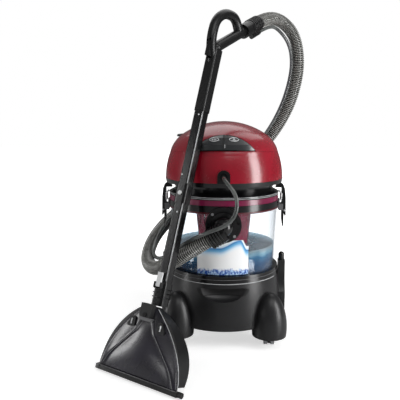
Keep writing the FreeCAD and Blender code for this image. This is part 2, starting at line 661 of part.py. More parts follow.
def make_head():
    wall = s.shell_wall
    pan_in = s.neck_radius - wall
    keep("head_pan", turned("pan_turned", [
        (s.flange_radius, lid_foot), (s.flange_radius, lid_foot + 5), (s.neck_radius, flange_top),
        (s.neck_radius + 7, neck_top), (s.skirt_radius - wall - 0.5, neck_top),
        (s.skirt_radius - wall - 0.5, neck_top + wall), (s.neck_radius + 4, neck_top + wall),
        (pan_in, flange_top + 1.5), (s.intake_radius, flange_top + 1.5),
        (s.intake_radius, flange_top - 2.5), (pan_in - 1, flange_top - 2.5),
        (s.flange_radius - 8, lid_foot + 3), (s.flange_radius - 8, lid_foot)]))
    keep("trim_ring", turned("trim_turned", [
        (s.skirt_radius - wall - 0.3, neck_top), (s.skirt_radius - 1.5, neck_top),
        (s.skirt_radius + 0.6, skirt_foot), (s.skirt_radius - wall - 0.3, skirt_foot)]))
    shell = head_profile("head_shell", 0, wall)
    notch_wide = s.spray_radius + 7
    notch = fuse("spray_notch",
                 cylinder("notch_arch", notch_wide, 60, 0, -s.skirt_radius - 20, spray_height, Y_AXIS),
                 centred_box("notch_foot", notch_wide * 2, 60, spray_height - skirt_foot + 1,
                             0, -s.skirt_radius + 10, skirt_foot - 1))
    gland_hole = cylinder("gland_hole", s.gland_radius + 4, 60, 0, s.skirt_radius - 30,
                          gland_height, Y_AXIS)
    keep("head_skirt", cut("skirt_cut", shell, tilted_space("above_parting", 0.2), notch, gland_hole))
    dome = common("dome_part", head_profile("dome_shell", 0, wall), tilted_space("dome_space", 0.6))
    window = cylinder("key_window", s.key_arch_radius + s.key_gap, s.skirt_radius - 80, 0,
                      -s.skirt_radius - 10, key_arch_height, Y_AXIS)
    bail_holes = [cylinder("bail_hole_" + side, s.bail_rod + s.joint_gap, 30,
                           (s.bail_out - 22) * sign - 15, s.bail_back, bail_height, X_AXIS)
                  for side, sign in SIDES.items()]
    keep("dome_cover", cut("dome_cut", dome, window, *bail_holes))
    socket = fuse("socket_solid",
                  cylinder("socket_arch", notch_wide - s.fit_gap, 14, 0, -s.skirt_radius - 0.5,
                           spray_height, Y_AXIS),
                  centred_box("socket_foot", (notch_wide - s.fit_gap) * 2, 14,
                              spray_height - skirt_foot, 0, -s.skirt_radius + 6.5, skirt_foot))
    keep("spray_socket", cut("socket_cut", socket,
                             cylinder("socket_bore", s.spray_radius + s.fit_gap, 11, 0,
                                      -s.skirt_radius - 2, spray_height, Y_AXIS)))
    plug_face = -float(TUBE_POINTS[0][1])
    keep("spray_plug", fuse("plug",
                            cylinder("plug_body", s.spray_radius, 20, 0, -s.skirt_radius - 11,
                                     spray_height, Y_AXIS),
                            cylinder("plug_tail", s.spray_radius - 2, plug_face - s.skirt_radius - 10,
                                     0, -plug_face, spray_height, Y_AXIS)))
    keep("mains_gland", ring("gland", s.gland_radius + 4, s.gland_radius, s.gland_length, 0,
                             s.skirt_radius - 6, gland_height, Y_AXIS))


def make_keys():
    proud = s.key_proud
    thick = s.key_thickness
    front = s.parting_radius - 1 + proud
    low = parting - 20
    shell = turned("key_shell", [
        (front, low), (front, parting + 27), (s.shoulder_radius + 18.5, shoulder - 7.5),
        (s.shoulder_radius - 1, shoulder + 4.5), (s.shoulder_radius - 1 - thick, shoulder + 4.5 - thick),
        (s.shoulder_radius + 18.5 - thick, shoulder - 7.5 - thick), (front - thick, parting + 27 - thick),
        (front - thick, low)])
    lens = cylinder("key_lens", s.key_arch_radius, s.skirt_radius - 80, 0, -s.skirt_radius - 10,
                    key_arch_height, Y_AXIS)
    panel = common("key_panel", common("key_lens_part", shell, lens), tilted_space("key_space", s.key_sill))
    pin_y = -s.key_pin_back
    pin_z = key_pin_height
    wand_way = rounded_bar("wand_way", s.wand_side + 3, far, s.sleeve_start, s.wand_bend)
    wand_way.Placement = wand_placement().multiply(wand_way.Placement)
    posts = []
    for name, sign in (("power_key", -1), ("pump_key", 1)):
        half = box(name + "_half", far, far, far * 2, 0.3 if sign > 0 else -far - 0.3, -far, 0)
        lug = cylinder(name + "_lug", s.key_pin_radius + 2.5, 12, sign * 24 - 6, pin_y, pin_z, X_AXIS)
        arm = centred_box(name + "_arm", 12, 17, 5, sign * 24, pin_y - 8.5, pin_z - 3.5)
        bore = cylinder(name + "_bore", s.key_pin_radius + s.run_gap, 20, sign * 24 - 10, pin_y,
                        pin_z, X_AXIS)
        solid = fuse(name + "_solid", common(name + "_side", panel, half), lug, arm)
        keep(name, cut(name + "_cut", solid, bore, wand_way))
        for reach in (14, 33):
            posts.append(centred_box("%s_post_%d" % (name, reach), 4, 9, 19, sign * reach, pin_y,
                                     pin_z - 17))
    tray = turned("tray_turned", [
        (136, 506), (136, 516), (114, 530), (94, 539), (94, 536), (113, 527), (133.5, 514.5),
        (133.5, 506)])
    lens_wide = cylinder("tray_lens", s.key_arch_radius + 4, s.skirt_radius - 80, 0,
                         -s.skirt_radius - 10, key_arch_height, Y_AXIS)
    rod = cylinder("key_rod", s.key_pin_radius, 72, -36, pin_y, pin_z, X_AXIS)
    keep("key_tray", fuse("tray", common("tray_part", tray, lens_wide), rod, *posts))


def make_motor():
    floor = flange_top + 1.5
    wall = 2.5
    fan_top = floor + s.fan_height
    keep("fan_housing", turned("fan_turned", [
        (s.fan_radius, floor), (s.fan_radius, fan_top), (s.shaft_radius + 14, fan_top),
        (s.shaft_radius + 14, fan_top - wall), (s.fan_radius - wall, fan_top - wall),
        (s.fan_radius - wall, floor + wall), (s.intake_radius + 4, floor + wall),
        (s.intake_radius + 4, floor)]))
    motor_top = fan_top + s.motor_height
    keep("motor_can", turned("motor_turned", [
        (s.motor_radius, fan_top), (s.motor_radius, motor_top),
        (s.shaft_radius + s.run_gap, motor_top), (s.shaft_radius + s.run_gap, motor_top - 6),
        (s.motor_radius - wall, motor_top - 6), (s.motor_radius - wall, fan_top + 8),
        (s.shaft_radius + s.run_gap, fan_top + 8), (s.shaft_radius + s.run_gap, fan_top + 2),
        (s.motor_radius - 8, fan_top + 2), (s.motor_radius - 8, fan_top)]))
    shaft_foot = floor + 8
    wheel = s.fan_radius - wall - 6
    keep("motor_rotor", turned("rotor_turned", [
        (0, shaft_foot), (s.intake_radius, shaft_foot), (wheel, shaft_foot + 3),
        (wheel, shaft_foot + 14), (s.shaft_radius + 6, shaft_foot + 16),
        (s.shaft_radius, shaft_foot + 16), (s.shaft_radius, fan_top + 18),
        (s.armature_radius, fan_top + 18), (s.armature_radius, motor_top - 16),
        (s.shaft_radius, motor_top - 16), (s.shaft_radius, motor_top - 1), (0, motor_top - 1)]))
    keep("exhaust_filter", ring("filter", s.neck_radius - 6, s.fan_radius + 6, 10, 0, 0, floor))
    pump_foot = neck_top + 4
    keep("pump_body", fuse(
        "pump", cylinder("pump_can", s.pump_radius, s.pump_height, s.pump_x, -s.pump_y, pump_foot),
        cylinder("pump_head", s.pump_radius + 4, 12, s.pump_x, -s.pump_y, pump_foot + s.pump_height),
        cylinder("pump_outlet", 4, 24, s.pump_x, -s.pump_y - s.pump_radius - 20, pump_foot + 10, Y_AXIS)))
    keep("switch_board", fuse("board",
                              centred_box("board_plate", 96, 22, 3, 0, -98, parting - 8),
                              centred_box("board_switch_left", 14, 12, 12, -30, -98, parting - 5),
                              centred_box("board_switch_right", 14, 12, 12, 30, -98, parting - 5)))


def make_bail():
    out = float(s.bail_out)
    back = float(s.bail_back)
    z = float(bail_height)
    reach = back + float(s.bail_reach)
    corners = [(-out + 26, back, z), (-out, back, z), (-out, back + 52, z), (-96, reach, z),
               (96, reach, z), (out, back + 52, z), (out, back, z), (out - 26, back, z)]
    rod = swept_tube("bail_rod", corners, s.bail_rod)
    grip = cylinder("bail_grip", s.bail_grip, 116, -58, s.bail_back + s.bail_reach, bail_height, X_AXIS)
    keep("carry_handle", fuse("bail", rod, grip))


def wand_placement():
    """The wand's own frame: Z up its tube, X along the nozzle, Y to the back. It leans on the head."""
    lean = math.radians(float(s.wand_lean))
    turn = Rotation(Z_AXIS, -float(s.wand_turn)) * Rotation(X_AXIS, -float(s.wand_lean))
    half = float(s.wand_side) / 2
    bearing = math.radians(float(s.lean_bearing))
    reach = float(s.parting_radius) + half + float(s.lean_gap)
    touch = Vector(-reach * math.sin(bearing), -reach * math.cos(bearing), float(parting))
    along = turn.multVec(Z_AXIS)
    foot = touch - along * ((float(parting) - float(s.wand_foot_height)) / math.cos(lean))
    return Placement(foot, turn)


def rounded_bar(name, side, height, start, bend):
    """A square tube section with rounded edges, a flat to the front, along the wand's own Z."""
    body = doc.addObject("PartDesign::Body", name)
    half = as_size(side) / 2
    flat = half - bend
    sketch = outline(body, "XY_Plane", [
        (half, -flat), (half, flat, bend), (flat, half), (-flat, half, bend), (-half, flat),
        (-half, -flat, bend), (-flat, -half), (flat, -half, bend)])
    pad = body.newObject("PartDesign::Pad", name + "_pad")
    pad.Profile = sketch
    bind(pad, Length=height)
    body.Tip = pad
    body.Placement = Placement(Vector(0, 0, float(as_size(start))), Rotation())
    return body


def make_wand():
    base = wand_placement()
    side = s.wand_side
    thin = s.wand_wall

    def finish(node, item):
        item.Placement = base.multiply(item.Placement)
        return keep(node, item)

    def bore(name, start, length, less=thin):
        return rounded_bar(name, side - less * 2, length, start, s.wand_bend - thin)

    split = s.sleeve_start + s.sleeve_length / 2
    hatch = cylinder("button_way", s.button_radius + s.joint_gap, 20, 0, -side, split, Y_AXIS)
    lower = rounded_bar("lower_bar", side, split - 4, 4, s.wand_bend)
    lower_bore = bore("lower_bore", 0, split + 10)
    finish("wand_tube_lower", cut("lower_tube", lower, lower_bore, hatch))
    upper = rounded_bar("upper_bar", side, s.grip_start - split + 20, split, s.wand_bend)
    upper_bore = bore("upper_bore", split - 10, s.grip_start)
    finish("wand_tube_upper", cut("upper_tube", upper, upper_bore, hatch))
    sleeve = rounded_bar("sleeve_bar", side + 4, s.sleeve_length, s.sleeve_start, s.wand_bend + 2)
    sleeve_way = rounded_bar("sleeve_way", side + s.fit_gap * 2, far, s.sleeve_start - 100,
                             s.wand_bend + s.fit_gap)
    finish("wand_sleeve", cut("sleeve_cut", sleeve, sleeve_way, hatch))
    button_face = side / 2 + 3
    button = cylinder("button_pin", s.button_radius, 6, 0, -button_face - 2, split, Y_AXIS)
    finish("wand_button", group("button", button))

    # handle: a stem over the tube, a bent grip loop and a straight branch that carries the hose
    branch = math.radians(float(s.branch_angle))
    slope = Vector(0, math.sin(branch), math.cos(branch))
    fork = Vector(0, 0, float(s.fork_start))
    stem = rounded_bar("grip_stem", s.grip_side, s.fork_start - s.grip_start - 6, s.grip_start, s.wand_bend)
    branch_end = fork + slope * float(s.branch_length)
    tip = branch_end - slope * 46
    loop = swept_tube("grip_loop", [
        (0, -1, 596), (0, -26, 650), (0, -24, 704), (0, 8, 740), (0, 56, 752), tuple(tip)], s.loop_radius)
    limb = cylinder("grip_branch", s.branch_radius, s.branch_length, 0, 0, s.fork_start,
                    slope)
    heel = sphere("grip_heel", s.branch_radius + 1, 0, 2, s.fork_start)
    way = rounded_bar("stem_way", side + s.fit_gap * 2, 20 + s.fit_gap, s.grip_start, s.wand_bend + s.fit_gap)
    window = centred_box("trigger_window", 13, 22, 48, 0, -24, 604)
    pin = cylinder("trigger_pin", s.trigger_pin, 21, -10.5, -s.trigger_out, s.trigger_up, X_AXIS)
    body = cut("handle_cut", fuse("handle_solid", stem, limb, heel, loop), way, window)
    finish("wand_handle", fuse("handle_pinned", body, pin))
    trigger = fuse("trigger_solid",
                   centred_box("trigger_blade", 11, 12, 40, 0, 0.5 - s.trigger_out, s.trigger_up - 37),
                   cylinder("trigger_barrel", 5, 11, -5.5, -s.trigger_out, s.trigger_up, X_AXIS))
    finish("spray_trigger", cut("trigger_cut", trigger, cylinder(
        "trigger_bore", s.trigger_pin + s.run_gap, 20, -10, -s.trigger_out, s.trigger_up, X_AXIS)))
    seat = branch_end - slope * 26
    across = Vector(0, slope.z, -slope.y)
    port = branch_end + slope * float(s.cuff_port_start) + across * float(s.hose_radius + s.tube_stand_off)
    sleeve_end = branch_end + slope * 3
    cuff = fuse("cuff_solid",
                cylinder("cuff_socket", s.branch_radius + 6, 29, 0, seat.y, seat.z, slope),
                cylinder("cuff_tube", s.hose_radius + 1.5, s.cuff_length, 0, sleeve_end.y,
                         sleeve_end.z, slope),
                cylinder("cuff_port", s.tube_radius + 2, s.cuff_port_length, 0, port.y, port.z, slope))
    cuff_ways = [cylinder("cuff_seat", s.branch_radius + s.fit_gap, 26.5, 0, seat.y, seat.z, slope),
                 cylinder("cuff_way", s.hose_radius - 3, s.cuff_length + 9, 0, branch_end.y,
                          branch_end.z, slope)]
    finish("handle_cuff", cut("cuff_cut", cuff, *cuff_ways))
    hose_end = branch_end + slope * float(s.cuff_length + 3)
    tube_end = port + slope * float(s.cuff_port_length)
    print("hose end", base.multVec(hose_end), "tube end", base.multVec(tube_end), "slope",
          base.Rotation.multVec(slope))
    return base


def make_nozzle(base):
    def finish(node, item):
        item.Placement = base.multiply(item.Placement)
        return keep(node, item)

    half = s.nozzle_width / 2
    low = -s.nozzle_drop + s.lip_height + 1
    neck = s.neck_width / 2
    top = -16
    bell = [(half, low, s.nozzle_arc), (neck, top), (-neck, top, s.nozzle_arc), (-half, low)]
    skin = s.nozzle_skin
    front = padded("nozzle_plate", "XZ_Plane", bell, skin)
    front.Placement = Placement(Vector(0, -float(s.nozzle_front) + 1.5, 0), Rotation())
    fan = padded("nozzle_fan", "XZ_Plane", [
        (half - 10, low, -s.nozzle_arc), (neck - 3, top - 12), (3 - neck, top - 12, -s.nozzle_arc),
        (10 - half, low)], 8)
    fan.Placement = Placement(Vector(0, -float(s.nozzle_front) - 3, 0), Rotation())
    finish("nozzle_front", fuse("nozzle_front_solid", front, fan))
    back_low = low + 7
    shell = padded("nozzle_block", "XZ_Plane", [
        (half, back_low, s.nozzle_arc), (neck, top), (-neck, top, s.nozzle_arc), (-half, back_low)],
        s.nozzle_depth)
    behind = float(s.nozzle_depth / 2 - s.nozzle_front + skin + s.fit_gap)
    shell.Placement = Placement(Vector(0, behind, 0), Rotation())
    bow = cylinder("nozzle_bow", 150, far, -far / 2, -150 + s.nozzle_depth - s.nozzle_front + 3, -104, X_AXIS)
    inner = padded("nozzle_hollow", "XZ_Plane", [
        (half - 5, back_low - 1, s.nozzle_arc), (neck - 4, top - 12), (4 - neck, top - 12, s.nozzle_arc),
        (5 - half, back_low - 1)], s.nozzle_depth * 2)
    inner_bow = cylinder("nozzle_bow_in", 146.5, far, -far / 2,
                         -150 + s.nozzle_depth - s.nozzle_front + 3, -104, X_AXIS)
    finish("nozzle_back", cut("nozzle_back_cut", common("nozzle_back_solid", shell, bow),
                              common("nozzle_hollow_cut", inner, inner_bow)))
    lip = centred_box("lip_bar", s.nozzle_width + 10, s.lip_depth, s.lip_height, 0,
                      -s.nozzle_front + 4, -s.nozzle_drop)
    knob = cylinder("lip_knob", 6.5, 12, s.nozzle_width / 2 + 3, -s.nozzle_front + 4,
                    -s.nozzle_drop + 6.5, X_AXIS)
    mouth = centred_box("lip_mouth", s.nozzle_width - 20, 5, 30, 0, -s.nozzle_front + 4,
                        -s.nozzle_drop - 10)
    finish("nozzle_lip", cut("lip_cut", fuse("lip_solid", lip, knob), mouth))
    collar = rounded_bar("neck_collar", s.wand_side + 5, 54, -14, s.wand_bend + 2)
    ears = [centred_box("clip_ear_%d" % (side + 1), 3.5, 12, 14, 9.2 * side, 1 - s.clip_out, s.clip_up - 7)
            for side in (-1, 1)]
    clip_pin = cylinder("clip_pin", s.clip_pin, 20, -10, -s.clip_out, s.clip_up, X_AXIS)
    collar_way = rounded_bar("neck_way", s.wand_side + s.fit_gap * 2, 40, 4, s.wand_bend)
    duct = rounded_bar("neck_duct", s.wand_side - 8, 60, -30, 2)
    finish("nozzle_neck", cut("neck_cut", fuse("neck_solid", collar, *ears, clip_pin), collar_way, duct))
    jet = fuse("jet_solid",
               cylinder("jet_body", 3.5, 8, 0, -s.nozzle_front - 15, -38, Y_AXIS),
               cylinder("jet_cap", 5, 4, 0, -s.nozzle_front - 17, -38, Y_AXIS))
    finish("spray_jet", jet)
    clip = fuse("clip_solid",
                centred_box("clip_blade", 14, 4, 34, 0, -s.clip_out - 0.5, s.clip_up - 4),
                cylinder("clip_barrel", 3.5, 14, -7, -s.clip_out, s.clip_up, X_AXIS))
    finish("nozzle_clip", cut("clip_cut", clip, cylinder(
        "clip_bore", s.clip_pin + s.run_gap, 20, -10, -s.clip_out, s.clip_up, X_AXIS)))


def make_hoses():
    keep("suction_hose", swept_tube("hose_tube", HOSE_POINTS, s.hose_radius))
    keep("spray_tube", swept_tube("spray_line", TUBE_POINTS, s.tube_radius))


make_base()
make_casters()
make_tank()
make_inlet()
make_label()
make_latches()
make_head()
make_keys()
make_motor()
make_bail()
make_nozzle(make_wand())
make_hoses()
doc.recompute()

faults = []
for item in doc.Objects:
    if "Invalid" in item.State or "Error" in item.State:
        faults.append("%s is %s" % (item.Name, item.State))
for node, item in nodes.items():
    if item.Shape.isNull() or not item.Shape.isValid() or not item.Shape.Solids:
        faults.append("%s has no valid solid" % node)
if faults:
    raise SystemExit("\n".join(faults))

os.makedirs("parts", exist_ok=True)
for node, item in nodes.items():
    item.Shape.exportStep("parts/%s.step" % node)
print("wrote %d nodes" % len(nodes))
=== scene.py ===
import math

import bmesh
import bpy
from mathutils import Matrix, Vector
from mathutils.bvhtree import BVHTree


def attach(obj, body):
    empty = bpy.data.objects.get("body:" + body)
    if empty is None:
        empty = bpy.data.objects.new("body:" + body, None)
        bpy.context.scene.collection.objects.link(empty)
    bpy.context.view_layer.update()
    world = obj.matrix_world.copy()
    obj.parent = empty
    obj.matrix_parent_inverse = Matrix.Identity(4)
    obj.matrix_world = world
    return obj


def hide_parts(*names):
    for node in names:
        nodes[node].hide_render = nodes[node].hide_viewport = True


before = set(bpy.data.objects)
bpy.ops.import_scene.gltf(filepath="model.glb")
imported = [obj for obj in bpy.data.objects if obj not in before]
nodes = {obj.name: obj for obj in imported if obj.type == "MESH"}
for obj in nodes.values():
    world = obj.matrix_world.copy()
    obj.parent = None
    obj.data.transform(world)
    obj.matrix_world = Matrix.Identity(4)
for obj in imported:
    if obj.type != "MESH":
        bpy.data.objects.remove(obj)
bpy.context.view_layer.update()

bpy.context.scene.view_settings.view_transform = "Standard"
print("frame loaded:", len(nodes), "nodes")


# node helpers: one class wraps a socket, one method adds a node
class Wire:
    def __init__(self, kit, socket):
        self.kit = kit
        self.socket = socket

    def sum(self, operation, first, second):
        return self.kit.add("ShaderNodeMath", {"operation": operation}, [first, second])

    def __add__(self, other):
        return self.sum("ADD", self, other)

    def __radd__(self, other):
        return self.sum("ADD", other, self)

    def __sub__(self, other):
        return self.sum("SUBTRACT", self, other)

    def __rsub__(self, other):
        return self.sum("SUBTRACT", other, self)

    def __mul__(self, other):
        return self.sum("MULTIPLY", self, other)

    def __truediv__(self, other):
        return self.sum("DIVIDE", self, other)

    def __pow__(self, other):
        return self.sum("POWER", self, other)

    def sin(self):
        return self.sum("SINE", self, 0.0)

    def clip(self):
        return self.sum("MINIMUM", self.sum("MAXIMUM", self, 0.0), 1.0)

    def step(self, low, high):  # 0 below low, 1 above high, smooth between
        return self.kit.add("ShaderNodeMapRange", {"interpolation_type": "SMOOTHSTEP"},
                            {"Value": self, "From Min": low, "From Max": high})


class Kit:
    def __init__(self, tree):
        self.tree = tree

    def add(self, kind, settings=None, inputs=None, out=0):
        node = self.tree.nodes.new(kind)
        for key, value in (settings or {}).items():
            if key == "stops":
                ramp = node.color_ramp
                while len(ramp.elements) < len(value):
                    ramp.elements.new(0.5)
                for element, (spot, colour) in zip(ramp.elements, value):
                    element.position = spot
                    element.color = (*colour, 1)
            else:
                setattr(node, key, value)
        pairs = enumerate(inputs) if isinstance(inputs, (list, tuple)) else (inputs or {}).items()
        for key, value in pairs:
            if isinstance(value, Wire):
                self.tree.links.new(value.socket, node.inputs[key])
            elif value is not None:
                node.inputs[key].default_value = value
        return Wire(self, node.outputs[out])

    def mix(self, first, second, amount):  # colours
        return self.add("ShaderNodeMix", {"data_type": "RGBA"},
                        {0: amount, 6: first if isinstance(first, Wire) else (*first, 1),
                         7: second if isinstance(second, Wire) else (*second, 1)}, 2)

    def noise(self, where, scale, detail=2.0, rough=0.5):
        return self.add("ShaderNodeTexNoise", None,
                        {"Vector": where, "Scale": scale, "Detail": detail, "Roughness": rough})

    def place(self):
        return self.add("ShaderNodeTexCoord", out=3)

    def split(self, where):
        return [self.add("ShaderNodeSeparateXYZ", None, [where], axis) for axis in range(3)]

    def bump(self, height, strength, distance):
        return self.add("ShaderNodeBump", None,
                        {"Strength": strength, "Distance": distance, "Height": height})


def newMaterial(name):
    material = bpy.data.materials.new(name)
    material.use_nodes = True
    tree = material.node_tree
    tree.nodes.clear()
    return material, Kit(tree)


def finishMaterial(kit, shader):
    output = kit.tree.nodes.new("ShaderNodeOutputMaterial")
    kit.tree.links.new(shader.socket, output.inputs[0])


def principled(kit, values):
    return kit.add("ShaderNodeBsdfPrincipled", None, values)


def mouldedPlastic(name, colour, rough, grain, grainSize, coat=0.0, wear=0.06, gloss=0.4):
    material, kit = newMaterial(name)
    where = kit.place()
    cloud = kit.noise(where, 14, 3.0)  # slow change of tone over the part
    fine = kit.noise(where, 1 / grainSize, 2.0)
    scuff = kit.noise(where, 90, 4.0, 0.7).step(0.55, 0.75)
    paler = tuple(min(1.0, c * (1 + wear * 3) + wear * 0.15) for c in colour)
    tone = kit.mix(colour, tuple(c * 0.82 for c in colour), cloud.step(0.35, 0.7))
    shader = principled(kit, {
        "Base Color": kit.mix(tone, paler, scuff * wear * 3),
        "Roughness": (rough + (cloud - 0.5) * 0.10 + scuff * wear).clip(),
        "Specular IOR Level": gloss, "Coat Weight": coat, "Coat Roughness": 0.14,
        "Normal": kit.bump(fine, grain, grainSize * 0.35)})
    finishMaterial(kit, shader)
    return material


def clearPlastic(name, tint, haze, edge, edgeShadeTint):
    material, kit = newMaterial(name)
    where = kit.place()
    wave = kit.noise(where, 16, 1.0)
    side = kit.add("ShaderNodeLayerWeight", None, {"Blend": 0.5}, 1)
    # the gloss colour turns to the edge-shade tint at glancing angles: painted shade along the tank's edges
    gloss = principled(kit, {"Base Color": kit.mix(tint, edgeShadeTint, side.step(0.35, 0.95)), "Roughness": 0.04,
                             "Specular IOR Level": 0.8, "Normal": kit.bump(wave, 0.10, 0.002)})
    through = kit.add("ShaderNodeBsdfTransparent", None, {0: (0.97, 0.985, 1.0, 1)})
    rim = kit.add("ShaderNodeLayerWeight", None, {"Blend": 0.42}, 1)
    dust = kit.noise(where, 240, 3.0).step(0.62, 0.82) * 0.03
    amount = (haze + (rim ** 2.2) * edge + dust).clip()
    finishMaterial(kit, kit.add("ShaderNodeMixShader", None, [amount, through, gloss]))
    return material


def smokePlastic(name, colour, haze, edge, rough=0.12):
    material, kit = newMaterial(name)
    where = kit.place()
    cloud = kit.noise(where, 18, 3.0)
    fine = kit.noise(where, 900, 2.0)
    deep = kit.mix(colour, tuple(c * 0.45 for c in colour), cloud.step(0.3, 0.75))
    gloss = principled(kit, {"Base Color": deep, "Roughness": (rough + (cloud - 0.5) * 0.12).clip(),
                             "Specular IOR Level": 0.5, "Coat Weight": 0.12, "Coat Roughness": 0.06,
                             "Normal": kit.bump(fine, 0.05, 0.0004)})
    through = kit.add("ShaderNodeBsdfTransparent", None, {0: (0.55, 0.53, 0.6, 1)})
    rim = kit.add("ShaderNodeLayerWeight", None, {"Blend": 0.35}, 1)
    finishMaterial(kit, kit.add("ShaderNodeMixShader", None, [(haze + rim * edge).clip(), through, gloss]))
    return material


def brushedMetal(name, colour, rough=0.3):
    material, kit = newMaterial(name)
    where = kit.place()
    stretched = kit.add("ShaderNodeMapping", None, {"Vector": where, "Scale": (1, 1, 40)})
    lines = kit.noise(stretched, 60, 3.0)
    finishMaterial(kit, principled(kit, {
        "Base Color": kit.mix(colour, tuple(c * 0.7 for c in colour), lines), "Metallic": 1.0,
        "Roughness": (rough + (lines - 0.5) * 0.25).clip(), "Normal": kit.bump(lines, 0.12, 0.0003)}))
    return material


def labelFilm(name):
    material, kit = newMaterial(name)
    where = kit.place()
    across, _, high = kit.split(where)
    fine = kit.noise(where, 260, 3.0)
    crest = across.step(-0.010, 0.042) * 0.020 - across.step(0.043, 0.060) * 0.026 + 0.2760
    under = crest - high  # how far below the wave's edge
    blue = kit.add("ShaderNodeValToRGB", {"stops": [
        (0.0, (0.95, 0.97, 1.0)), (0.10, (0.55, 0.75, 0.92)), (0.17, (0.02, 0.20, 0.52)),
        (0.45, (0.16, 0.48, 0.78)), (0.8, (0.80, 0.90, 0.97)), (1.0, (0.93, 0.94, 0.95))]},
        [under.step(-0.002, 0.034)])
    ragged = kit.noise(where, 75, 5.0, 0.7)
    splash = (0.2135 + (ragged - 0.5) * 0.030 - high).step(-0.0015, 0.005)
    drops = kit.noise(where, 190, 2.0, 0.6)
    deepBlue = kit.mix((0.03, 0.10, 0.42), (0.45, 0.66, 0.90), drops.step(0.42, 0.62))
    finishMaterial(kit, principled(kit, {
        "Base Color": kit.mix(blue, deepBlue, splash), "Roughness": (fine * 0.08 + 0.14).clip(),
        "Coat Weight": 0.4, "Alpha": (under + 0.004).step(0.0, 0.002),
        "Normal": kit.bump(fine, 0.05, 0.0004)}))
    return material


def tankWater(name):
    material, kit = newMaterial(name)
    where = kit.place()
    high = kit.split(where)[2]
    ripple = kit.noise(where, 40, 2.0)
    cloud = kit.noise(kit.add("ShaderNodeMapping", None, {"Vector": where, "Scale": (1, 1, 0.25)}), 16, 2.0)
    # colour by height: darker towards the bottom; the pale top band is a painted reflection on the water's
    # surface
    tone = kit.add("ShaderNodeValToRGB", {"stops": [
        (0.0, (0.002, 0.022, 0.070)), (0.55, (0.004, 0.070, 0.175)), (0.78, (0.010, 0.150, 0.300)),
        (0.93, (0.30, 0.55, 0.66)), (1.0, (0.70, 0.83, 0.88))]},
        [(high + (cloud - 0.5) * 0.035).step(0.180, 0.262)])
    body = principled(kit, {"Base Color": tone, "Roughness": (ripple * 0.06 + 0.03).clip(),
                            "Specular IOR Level": 0.6, "Normal": kit.bump(ripple, 0.25, 0.002)})
    through = kit.add("ShaderNodeBsdfTransparent", None, {0: (0.72, 0.88, 0.95, 1)})
    amount = (0.92 - high.step(0.240, 0.2575) * 0.45 + (cloud - 0.5) * 0.25).clip()
    finishMaterial(kit, kit.add("ShaderNodeMixShader", None, [amount, through, body]))
    return material


def ribbedHose(name, crest, valley, rough, pitch):
    material, kit = newMaterial(name)
    along = kit.add("ShaderNodeAttribute", {"attribute_name": "along"}, None, 2)
    where = kit.place()
    wave = (along * (math.tau / pitch)).sin() * 0.5 + 0.5
    dirt = kit.noise(where, 60, 4.0)
    # lighter crests and darker valleys: partly the hose's own grey and black ribs, partly a painted highlight
    # on the crests and painted shade in the valleys
    tone = kit.mix(valley, crest, wave.step(0.35, 0.95))
    finishMaterial(kit, principled(kit, {
        "Base Color": kit.mix(tone, tuple(c * 0.55 for c in valley), dirt.step(0.5, 0.8) * 0.5),
        "Roughness": (rough + (dirt - 0.5) * 0.15).clip(), "Specular IOR Level": 0.7,
        "Coat Weight": wave.step(0.5, 1.0) * 0.7, "Coat Roughness": 0.12,
        "Normal": kit.bump(dirt, 0.08, 0.0005)}))
    return material


